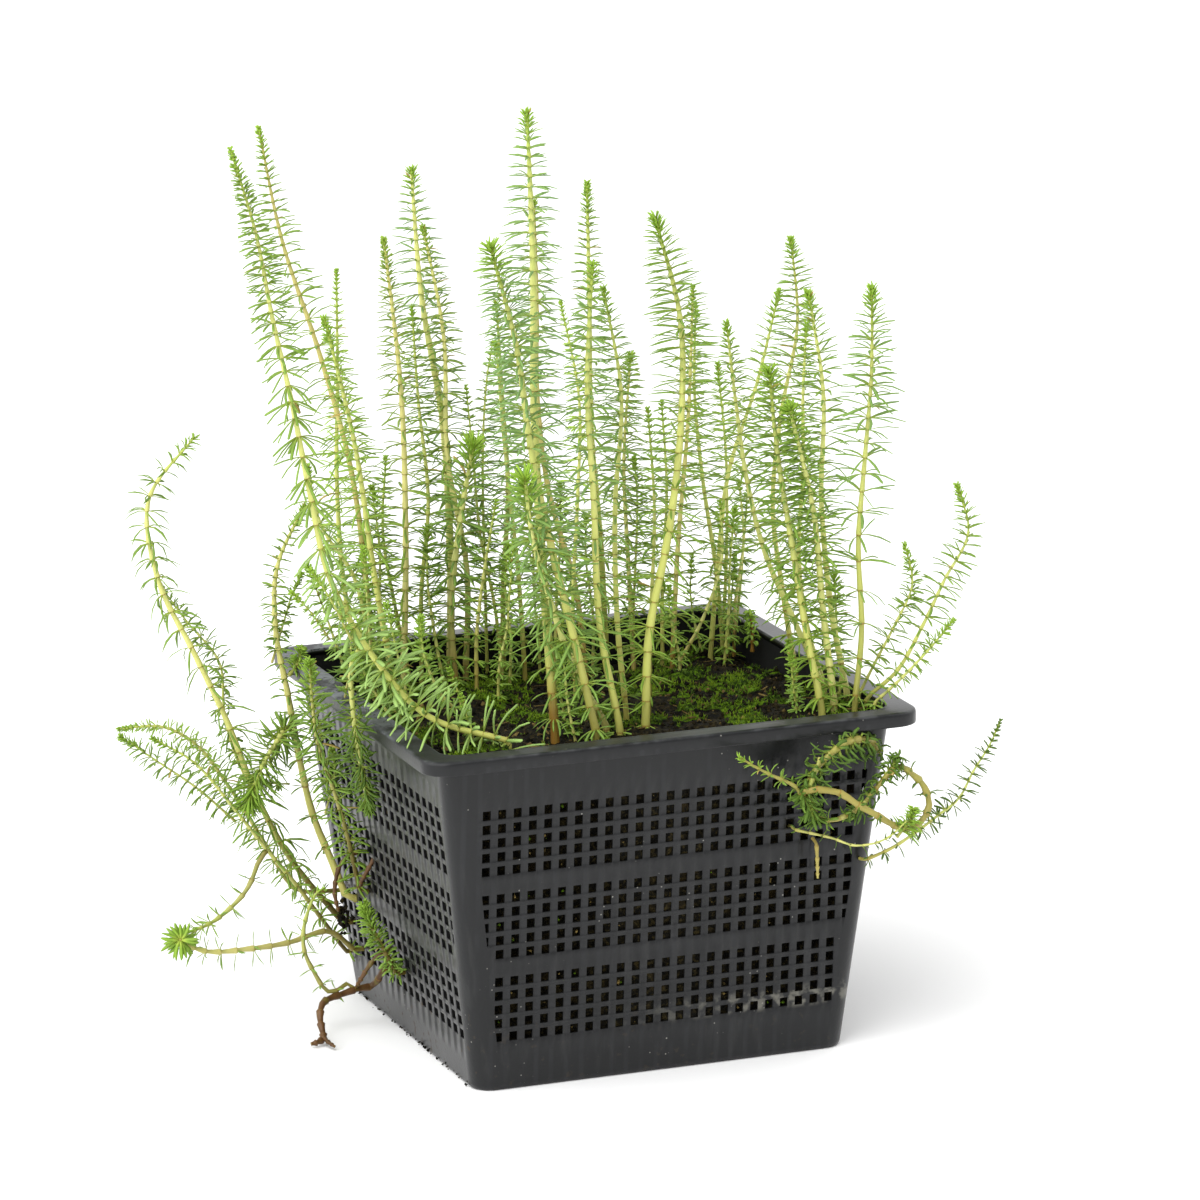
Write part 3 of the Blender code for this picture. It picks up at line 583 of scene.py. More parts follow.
def curve(points, steps=24):
    # Catmull-Rom: each span blends its two ends and their neighbours by cubics of t
    p = np.array(points, dtype=float)
    p = np.vstack([2 * p[0] - p[1], p, 2 * p[-1] - p[-2]])
    t = np.linspace(0, 1, steps, endpoint=False)[None, :, None]
    a, b, c, d = (p[k:len(p) - 3 + k, None] for k in range(4))
    spans = 0.5 * (2 * b + (c - a) * t + (2 * a - 5 * b + 4 * c - d) * t ** 2 + (3 * b - a - 3 * c + d) * t ** 3)
    return np.vstack([spans.reshape(-1, 3), p[-2:-1]])


class Route:
    # a line in space, measured from its foot, with two directions square to it at every place
    def __init__(self, line):
        steps = np.linalg.norm(np.diff(line, axis=0), axis=1)
        line = line[np.append(True, steps > 1e-6)]
        reached = np.append(0, np.cumsum(np.linalg.norm(np.diff(line, axis=0), axis=1)))
        self.length = reached[-1]
        self.marks = np.linspace(0, self.length, int(self.length) + 2)
        self.line = np.stack([np.interp(self.marks, reached, line[:, k]) for k in range(3)], 1)
        runs = np.gradient(self.line, axis=0)
        runs[1:-1] = (runs[:-2] + runs[1:-1] + runs[2:]) / 3
        self.runs = unit(runs)
        steady = np.linalg.svd(self.line - self.line.mean(axis=0))[2][2]
        self.across = unit(steady - self.runs * (self.runs @ steady)[:, None])

    def at(self, distances):
        # places, directions of growth and the two directions square to them
        place, run, across = (np.stack([np.interp(distances, self.marks, v[:, k]) for k in range(3)], -1)
                              for v in (self.line, self.runs, self.across))
        run = unit(run)
        across = unit(across - run * (across * run).sum(-1, keepdims=True))
        return place, run, across, np.cross(run, across)


def shootRoute(start, away, points, sink=5.0):
    # straight out of its seat for 3 mm, then a curve through its points
    start, away = np.array(start, dtype=float), np.array(away, dtype=float)
    return Route(np.vstack([start - away * sink, start, curve([start + away * 3, *points])]))


def whorlDepths(length, habit, bare):
    # distances of the whorls from the tip: crowded in the crown, wider and wider below it
    depths, d = [], 1.6
    while d < length - bare:
        depths.append(d)
        if "gaps" in habit:
            d += float(np.interp(d, *habit["gaps"]))
        else:
            spread = 0.2 + 0.8 * (1 - math.exp(-d / 13))
            d += habit["pitch"] * spread * (1 + habit["stretch"] * float(smooth((d - 30) / 110)))
    return np.array(depths)


def stemRadius(thickness, depths, taper):
    # thin under the crown, thickening to full over twice the taper below it
    return thickness / 2 * (0.34 + 0.66 * (1 - np.exp(-depths / taper)))


def stemPart(route, depths, thickness, taper, looks, rng):
    # a round stem whose internodes widen downwards to a swelling over each whorl, strongest below the crown
    down = np.append(depths, min(route.length - 0.05, depths[-1] + 12))
    gaps = np.diff(down)
    # at four places of each gap: how far along it, swelling, brown ring and green neck
    along, *marks = np.array([[0.0, 0.08, 0.5, 0.92], [0.35, -0.6, -0.1, 0.75], [1.0, 0.0, 0.0, 0.0],
                              [0.4, 1.0, 0.3, 0.0]])
    spots = np.append((down[:-1, None] + gaps[:, None] * along).ravel(), route.length)[::-1]
    swell, ring, neck = (np.append(np.tile(mark, len(gaps)), 0.0)[::-1] for mark in marks)
    place, _, across, forward = route.at(route.length - spots)
    radii = stemRadius(thickness, spots, taper) * (1 + swell * (0.05 + 0.33 * np.exp(-spots / 70)))
    values = {"age": 1 - np.exp(-spots / 40), "ring": ring, "neck": neck,
              "tint": np.interp(spots, down, rng.uniform(-1, 1, len(down))),
              "foot": np.exp(-(route.length - spots) / 26), "low": smooth(spots / max(route.length, 90))}
    values.update({k: np.full(len(spots), v) for k, v in looks.items()})
    return tube(place, across, forward, radii, 9, values)


def leafPart(place, out, up, side, long, wide, low, high, curl, roll, sag, blunt, values):
    # each leaf is an arc: its angle above the whorl goes evenly from low to high along it, with a little
    # sideways curl and sag; its section is a flat diamond that narrows to a point
    t = np.array([0.0, 0.28, 0.62, 0.87 + 0.08 * (blunt > 0.6), 1.0])
    width = np.array([0.5, 0.82, 1.0, blunt])
    bend = np.where(np.abs(high - low) < 0.02, 0.02, high - low)[:, None]
    angle = low[:, None] + bend * t
    long = long[:, None]
    x = long * (np.sin(angle) - np.sin(low)[:, None]) / bend
    z = long * (np.cos(low)[:, None] - np.cos(angle)) / bend
    s = long * curl[:, None] * t ** 2
    middle = (place[:, None] + out[:, None] * x[..., None] + up[:, None] * z[..., None]
              + side[:, None] * s[..., None] - np.array([0, 0, 1]) * (sag[:, None] * t ** 2)[..., None])
    lift = -np.sin(angle)[..., None] * out[:, None] + np.cos(angle)[..., None] * up[:, None]
    lift, flat = lift[:, :4], np.repeat(side[:, None], 4, axis=1)
    c, n = np.cos(roll)[:, None, None], np.sin(roll)[:, None, None]
    flat, lift = flat * c + lift * n, lift * c - flat * n
    w = (wide[:, None] * width)[..., None] / 2
    section = np.stack([flat * w, lift * w * 0.48, -flat * w, -lift * w * 0.48], axis=2)
    rings = middle[:, :4, None] + section
    spots = np.concatenate([rings.reshape(len(place), 16, 3), middle[:, 4:5]], axis=1)
    sides = np.concatenate([gridFaces(4, 4, True), [[3, 2, 1, 0]]])
    part = scatter(spots, [sides, fanFaces(12, 4, 16)], 1, values)
    part[3]["ring"] = np.tile(np.append(np.repeat(t[:4], 4), 1.0), len(place))
    return part


def shoot(name, thickness, reach, route, kind, looks, bare=6.0):
    # the stem and its whorls of narrow leaves; crown leaves are short and stand up, low ones spread and sag
    habit = habits[kind]
    rng = np.random.default_rng(sum(map(ord, name)) * 7)
    depths = whorlDepths(route.length, habit, bare)
    parts = [stemPart(route, depths, thickness, habit["taper"], looks, rng)]
    each = rng.integers(habit["leaves"] - 1, habit["leaves"] + 2, len(depths))
    d = np.repeat(depths, each)
    number = np.concatenate([np.arange(n) for n in each])
    a = 2 * np.pi * (number / np.repeat(each, each) + np.repeat(rng.uniform(0, 1, len(depths)), each))
    a += rng.normal(0, 0.16, len(a))  # a little off their even turns
    above = route.length - d
    kept = habit["kept"] * (1 - 0.1 * smooth(d / 140))
    if habit["crown"] < 0.3:
        kept = kept * (0.6 + 0.4 * smooth(above / 60))
    keep = rng.uniform(0, 1, len(d)) < np.where(d < 12, 1.0, kept)  # the crown keeps them all
    d, a, above = d[keep], a[keep], above[keep]
    count = len(d)
    place, run, across, forward = route.at(route.length - d + rng.normal(0, 0.12, count))
    out = across * np.cos(a)[:, None] + forward * np.sin(a)[:, None]
    first = habit["crown"] * min(max(thickness / 2.8, 0.5), 1.1)
    grown = first + (1 - first) * (1 - np.exp(-(d / habit["ripe"]) ** 1.3))
    droop = 20 * smooth((d - 80) / 120) + 8 * smooth(1 - above / 50)  # degrees, most at the foot
    short, wider = 0.5 + 0.5 * smooth(above / 60), 1.0
    if kind == "bent":
        short, wider, droop = (np.interp(d, *bentLook[key]) for key in ("long", "wide", "droop"))
    long = reach * (0.95 + 0.15 * smooth((d - 60) / 100)) * grown * short * rng.normal(1, 0.1, count)
    low = np.radians(habit["rise"] + (64 - habit["rise"] * 0.5) * np.exp(-(d / habit["closed"]) ** 1.2) - droop
                     + rng.normal(0, 1, count) * (5 + 9 * smooth(d / 120)))
    high = low - np.radians(habit["bend"] * (0.5 + 0.5 * smooth(d / 60)) * rng.uniform(0.4, 1.6, count))
    sag = habit["sag"] * long * rng.uniform(0, 2, count)
    wide = habit["wide"] * wider * (0.7 + 0.3 * grown) * rng.normal(1, 0.1, count) * (0.76 + reach / 50)
    values = {"age": 1 - np.exp(-d / 30), "tint": rng.uniform(-1, 1, count),
              "low": smooth(d / max(route.length, 90)), "dead": (rng.uniform(0, 1, count) < 0.006) * 1.0}
    values.update({k: np.full(count, v) for k, v in looks.items()})
    curl, roll = rng.normal(0, habit["curl"], count), rng.normal(0, 0.4, count)
    seat = place + out * (stemRadius(thickness, d, habit["taper"]) * 0.7)[:, None]
    parts.append(leafPart(seat, out, run, np.cross(run, out), long, wide, low, high, curl, roll, sag,
                          habit["blunt"], values))
    return parts


def stemSkin():
    # yellow-green above, orange-brown at the foot, a green neck under and a brown line at each whorl; painted shade
    # darkens every foot, and by its looks a shoot gets painted shade over its lower half and painted light along its
    # stem
    material, w = newMaterial("stem")
    names = "age foot ring tint low neck tan brown olive bright rust murky root".split()
    age, foot, ring, tint, low, neck, tan, brown, olive, bright, rust, murky, root = map(w.value, names)
    streak = w.noise(3, 3, (1, 1, 6))
    colour = w.coats(w.mix(age.between(0.15, 0.6), (176, 196, 84), (218, 220, 134)),
                     ((tint * 0.5 + 0.5) * 0.4, (202, 208, 112)), (low.between(0.1, 1.0) * 0.7, (190, 196, 92)),
                     (neck * (1 - age.between(0.6, 0.97)) * 0.6, (128, 162, 70)),
                     (tan * (0.4 + 0.5 * w.noise(20, 2)), (198, 172, 114)),
                     (brown * (0.35 + 0.3 * w.noise(14, 2)), (172, 148, 90)), (olive * 0.8, (146, 134, 66)),
                     # painted light on the stem, and painted shade where that look is below 0
                     (bright * 0.6, (236, 236, 150)), ((0 - bright).between(0.0, 1.0) * 0.6, (134, 142, 56)),
                     # painted shade darkening every stem's foot
                     (foot.between(0.4, 1.0) * 0.5, (120, 112, 44)),
                     ((foot + 0.1 * tint).between(0.1, 0.75) * rust, (136, 100, 40)),
                     # painted shade, dark olive-brown, over a shoot's lower half by its look
                     ((foot ** 0.5).between(0.1, 0.8) * murky, (100, 86, 36)),
                     (root, w.mix(w.noise(5, 3), (52, 32, 16), (112, 80, 46))),
                     (streak.between(0.5, 0.8) * 0.2, (150, 168, 66)),
                     (ring.between(0.35, 0.9) * (0.35 + 0.4 * age.between(0.5, 0.9)), (140, 104, 44)))
    return finishMaterial(material, w, colour, 0.42, 0.3, w.bump(streak, 0.1))


def leafSkin():
    # fresh green in the crown, olive or bluish green below, paler bases, a few dead leaves, and dark green painted
    # shade on shaded shoots
    material, w = newMaterial("leaf")
    names = "age ring tint cool low pale dark brown dead".split()
    age, along, tint, cool, low, pale, dark, brown, dead = map(w.value, names)
    grown = w.coats((114, 146, 54), (cool.between(0.0, 1.0), (118, 152, 90)),
                    ((0 - cool).between(0.0, 1.0), (168, 200, 84)))
    colour = w.coats(w.mix(age.between(0.05, 0.5), (142, 178, 58), grown),
                     ((tint * 0.5 + 0.5) * 0.4, (146, 174, 80)), (low.between(0.3, 1.0) * 0.6, (116, 146, 46)),
                     # painted shade: dark green on the leaves of shoots that stand in shadow
                     (pale * age.between(0.985, 0.998) * 0.75, (152, 182, 106)), (dark * 0.8, (66, 92, 36)),
                     (brown * 0.2, (132, 132, 66)), ((1 - along.between(0.0, 0.45)) * 0.6, (182, 196, 84)),
                     (dead, (170, 150, 80)))
    return finishMaterial(material, w, colour, 0.55, 0.16)


# How a shoot's stem and leaves look, each 0 to 1: pale leaves, brown or olive stem, root brown, painted shade on the
# leaves, painted shade over the stem's lower half, tan stem, rusty foot, bluish leaves (below 0 yellowish) and
# painted light on the stem (below 0 painted shade).
plainLooks = dict(pale=0, brown=0, olive=0, root=0, dark=0, murky=0, tan=0.1, rust=0.12, cool=0.15, bright=0.1)
groupLooks = {"trailing": dict(dark=0.25), "knot": dict(dark=1, bright=0), "side": dict(dark=0.3),
              "tangle": dict(dark=1, bright=0)}

# Each shoot: where it starts, stem thickness and leaf reach in mm, kind of growth, its own looks, and its places
# up to its tip. On peat the first place is its foot's x and y; on the left or front wall it is the place along
# the wall and the height. A branch names its parent and the share of the parent's length where it leaves.
shoots = {
    "shoot_bent": ("peat", 2.3, 13, "bent", dict(pale=1, bright=-0.1),
        "-58 -75, -85 -65 141, -104 -59 165, -117 -54 193, -123 -53 224, -128 -51 256, -134 -50 287, -139 -49 318, "
        "-147 -47 349"),
    "shoot_01": ("peat", 2.3, 12, "slow", dict(tan=1, bright=-0.4),
        "-65 60, -66 61 161, -70 64 205, -79 70 248, -90 77 290, -96 84 333"),
    "shoot_02": ("peat", 2.7, 12, "slow", dict(cool=-0.3, bright=-0.1), "-64 34, -71 35 169, -78 33 220, -89 32 270"),
    "shoot_03": ("peat", 2.3, 9, "upright", {}, "-67 51, -69 51 142, -74 51 166, -86 52 187, -91 51 211"),
    "shoot_04": ("peat", 2.2, 9, "slow", dict(cool=-1), "-65 69, -71 72 156, -72 75 197, -70 77 237, -68 81 278"),
    "shoot_05": ("peat", 2.1, 10, "upright", {}, "-45 75, -49 78 145, -52 82 174, -49 85 204"),
    "shoot_06": ("peat", 2.7, 11, "slow", dict(brown=1, tan=0.9, rust=0.15, bright=0.8),
        "-56 50, -54 49 177, -55 47 236, -61 45 295"),
    "shoot_07": ("peat", 2, 10, "upright", dict(bright=0), "-42 70, -41 71 152, -37 72 188, -38 78 225, -38 83 261"),
    "shoot_08": ("peat", 3.3, 13, "upright", dict(tan=0.4, rust=0.5, cool=1, bright=0.9),
        "-27 80, -26 80 164, -27 82 214, -33 86 263, -35 89 312"),
    "shoot_09": ("peat", 2.5, 11, "slow", dict(brown=1, tan=0.6, rust=0.6, bright=1),
        "-26 65, -24 67 161, -29 72 204, -28 76 249, -34 80 292"),
    "shoot_10": ("peat", 3.8, 13, "tulip", dict(tan=0.45, rust=0.8, cool=0.4, bright=1),
        "-33 58, -34 57 150, -31 53 182, -27 47 214"),
    "shoot_11": ("peat", 2.2, 9, "upright", dict(tan=0.3, rust=0.5), "-30 41, -29 42 143, -25 42 169, -20 42 193"),
    "shoot_12": ("peat", 2.4, 11, "upright", dict(tan=0.3, rust=0.5, cool=0.6),
        "-7 76, -6 77 151, -3 78 187, -3 82 223, -3 87 259"),
    "shoot_13": ("peat", 2.1, 10, "upright", dict(rust=0.5, cool=0.8), "-5 57, -7 57 161, -11 57 206, -14 57 250"),
    "shoot_14": ("peat", 3.5, 13, "upright", dict(rust=1, cool=0.9, bright=-0.1),
        "-35 -60, -37 -57 182, -38 -53 239, -36 -49 296, -35 -43 353"),
    "shoot_15": ("peat", 2.4, 11, "upright", dict(brown=1, tan=0.5, rust=0.6, cool=0.8),
        "17 50, 14 52 154, 6 57 190, 4 62 226, 6 66 263, 7 70 300"),
    "shoot_16": ("peat", 3.2, 13, "brush", dict(rust=0.3, cool=1, murky=0.4, bright=-0.2),
        "-24 -74, -31 -72 164, -39 -71 200, -46 -71 237, -51 -72 274, -60 -72 311"),
    "shoot_17": ("peat", 3.1, 13, "tulip", dict(rust=0.35, cool=0.6, bright=1),
        "-16 -62, -28 -62 152, -38 -67 178, -47 -74 204, -53 -84 229"),
    "shoot_18": ("peat", 2.9, 11, "slow", {}, "34 74, 33 75 162, 31 78 209, 32 80 256, 33 83 303"),
    "shoot_19": ("peat", 2.9, 12, "upright", dict(cool=0.8, bright=-0.1),
        "-13 -68, -19 -65 169, -20 -64 213, -21 -62 256, -18 -62 300"),
    "shoot_20": ("peat", 1.8, 9, "slow", dict(cool=-0.8), "-1 12, -1 13 158, 2 14 196, 4 16 234, -1 21 271"),
    "shoot_21": ("peat", 2.3, 11, "upright", dict(rust=0.4, cool=0.4),
        "-3 -48, -6 -48 166, -6 -48 207, -4 -51 248, -10 -50 289"),
    "shoot_22": ("peat", 2.2, 10, "brush", dict(brown=1, rust=0.5, bright=0.8),
        "40 60, 39 61 157, 39 64 198, 43 65 239"),
    "shoot_23": ("peat", 2, 9, "upright", dict(rust=0.5, murky=0.5, bright=-0.3),
        "11 -34, 12 -35 162, 14 -35 201, 12 -35 240"),
    "shoot_24": ("peat", 3.3, 13, "plume", dict(bright=-0.4),
        "-3 -68, -1 -68 164, 7 -69 202, 12 -69 240, 13 -67 278, 6 -61 315"),
    "shoot_25": ("peat", 2.2, 10, "slow", dict(brown=1, tan=0.5, rust=0.9, bright=0.6),
        "51 47, 54 47 167, 59 47 217, 62 48 267"),
    "shoot_26": ("peat", 2.1, 10, "upright", {}, "79 66, 77 67 151, 74 72 185, 73 77 219, 76 82 253"),
    "shoot_27": ("peat", 2.4, 11, "upright", dict(bright=0.7),
        "79 -39, 69 -36 152, 58 -33 180, 51 -33 209, 47 -33 239, 43 -35 269"),
    "shoot_28": ("peat", 1.8, 9, "airy", dict(pale=1, cool=-0.6), "81 72, 84 74 153, 86 78 191, 86 86 228"),
    "shoot_29": ("peat", 2.2, 9, "airy", dict(cool=-0.4), "70 56, 73 55 154, 78 55 191, 89 52 226, 98 50 262"),
    "shoot_30": ("peat", 3.2, 12, "brush", dict(bright=-0.1),
        "63 -75, 58 -73 159, 54 -70 191, 50 -67 224, 48 -64 256"),
    "shoot_31": ("peat", 2.2, 11, "plume", dict(tan=0.4, rust=0.4),
        "82 -2, 78 0 155, 75 2 189, 79 3 223, 86 3 257, 85 6 290"),
    "shoot_32": ("peat", 3.2, 11, "brush", dict(bright=1), "69 -72, 65 -72 166, 61 -73 205, 52 -73 244"),
    "shoot_33": ("peat", 2.2, 10, "upright", dict(bright=0.6),
        "82 -31, 76 -28 151, 74 -26 178, 77 -24 207, 78 -22 235, 81 -19 263"),
    "shoot_34": ("peat", 2.6, 11, "airy", dict(bright=0.7), "81 -55, 76 -52 163, 74 -49 202, 76 -47 241, 72 -43 279"),
    "shoot_35": ("peat", 2.4, 13, "airy", dict(cool=0.5, murky=0.3, bright=-0.5),
        "75 -77, 78 -77 159, 77 -77 191, 79 -79 223, 81 -81 255, 81 -82 287"),
    "shoot_36": ("peat", 2.1, 9, "upright", dict(tan=0.7, rust=0.9, bright=1),
        "80 57, 81 57 140, 85 58 164, 84 60 187"),
    "shoot_37": ("peat", 2.1, 9, "upright", dict(rust=0.6, bright=0.8), "52 42, 61 40 139, 69 40 161, 70 44 184"),
    "shoot_38": ("peat", 1.65, 8, "airy", {}, "82 -64, 87 -67 143, 93 -72 158, 98 -77 174, 94 -79 191"),
    "shoot_39": ("peat", 1.95, 10, "airy", dict(bright=-0.2),
        "82 -71, 93 -75 142, 102 -77 158, 110 -79 175, 119 -80 192, 116 -76 210"),
    "shoot_40": ("peat", 1.95, 9, "airy", dict(bright=-0.2), "82 -79, 90 -83 140, 100 -88 152, 108 -93 164"),
    "shoot_over_rim": ("peat", 2.25, 8, "shade", dict(dark=0.8, bright=-0.3),
        "-79 -14, -83 -15 143, -94 -20 156, -102 -30 152, -103 -34 137, -99 -26 122, -95 -20 106, -91 -13 93"),
    "trailing_shoot_1": ("left", 2.3, 10.5, "clump", dict(tan=0.25, murky=1, bright=0),
        "60 30, -99 59 57, -112 60 84, -122 61 113, -134 62 141, -146 64 169, -149 63 200, -132 57 224"),
    "trailing_shoot_2": ("left", 3.1, 6.5, "airy", dict(tan=0.5, bright=0),
        "50 42, -83 60 55, -88 66 72, -93 65 95, -97 64 120, -101 64 145, -100 63 170, -88 64 193"),
    "trailing_shoot_3": ("left", 2, 6, "airy", dict(tan=0.3, cool=-0.5, murky=0.8),
        "70 40, -94 72 42, -104 70 58, -113 69 74, -123 65 90, -134 61 105, -149 56 115, -168 52 117"),
    "trailing_shoot_4": ("left", 2, 8, "airy", dict(murky=1),
        "62 18, -89 55 34, -101 50 51, -113 49 67, -125 49 84, -138 51 101, -154 55 112"),
    "trailing_shoot_5": ("left", 2.1, 8, "bare", dict(pale=1, tan=0.7, murky=0.7),
        "50 22, -89 48 31, -105 46 29, -121 44 29, -138 44 30, -152 45 37"),
    "trailing_shoot_6": ("left", 2.2, 10, "trailing", dict(tan=0.5, murky=1),
        "31 50, -87 25 71, -93 20 90, -100 17 110, -105 8 129, -108 1 149"),
    "trailing_shoot_7": ("left", 2.1, 8, "thick", dict(murky=1), "-2 27, -83 -2 36, -86 3 44, -88 7 53"),
    "wall_root": ("left", 2.6, 1.5, "root", dict(root=1),
        "14 24, -80 22 16, -87 21 15.5, -93 20 14.5, -98 18.5 14, -102 16 13, -104 13 9, -104.5 9.3 5, -104.8 7 2.6, "
        "-108 4.5 2, -112 4.2 1.6"),
    "knot_shoot_1": ("front", 2.55, 11, "knot", dict(olive=1),
        "79 116, 75 -92 121, 66 -97 123.5, 58 -101 122, 53 -102 119, 49 -102 115, 46 -102 110.5, 43.5 -103 107"),
    "knot_shoot_2": ("front", 1.7, 7, "airy", dict(rust=0.4),
        "75 74, 83 -90 79, 91 -94 85, 101 -92 90, 111 -89 95, 117 -88 104, 124 -87 113, 129 -87 123"),
    "knot_shoot_3": ("front", 1.65, 6, "thread", dict(tan=0.4),
        "48 89, 57 -97 88, 64 -104 86, 73 -110 89, 81 -114 97"),
    "knot_stub": ("front", 1.4, 1.1, "root", dict(tan=0.9, rust=0.5), "56 84, 56 -86 79, 57 -84 68"),
    "trailing_shoot_4_branch": ("trailing_shoot_4 0.5", 1.9, 11, "bare", dict(murky=0.5),
        "-120 50 50, -132 48 41, -145 43 38"),
    "root_shoot": ("wall_root 0.4", 1.65, 8, "bare", dict(murky=0.7),
        "-98 20 16, -103 23 24, -106 24 32, -106 24 40, -104 24 47, -101 24 53, -97 24 55.5"),
    "knot_loop": ("knot_shoot_1 1.0", 2.5, 5, "loop", dict(olive=1, tan=0.5),
        "44 -106 109, 48 -107 109.5, 53 -107 108.5, 58 -107 106.5, 63 -107 102.5, 70 -107 98, 75 -106 94.5, "
        "79 -105 92, 84 -104 90, 89 -103 91, 93 -102 95, 94 -101 99, 92 -100 105, 88 -100 109, 84.5 -100 112, "
        "80 -101 113"),
    "knot_shoot_4": ("knot_loop 1.0", 2, 6, "claw", dict(olive=1, dark=0.2),
        "77 -101 109.5, 73 -100 104.5, 70 -99 100.5, 67 -99 98, 62 -99 96, 57 -99 95, 52 -100 96.5, 49 -101 100, "
        "43.7 -103 105.8, 40.5 -103 110.8, 29.5 -104 117, 18 -105 124.5"),
}
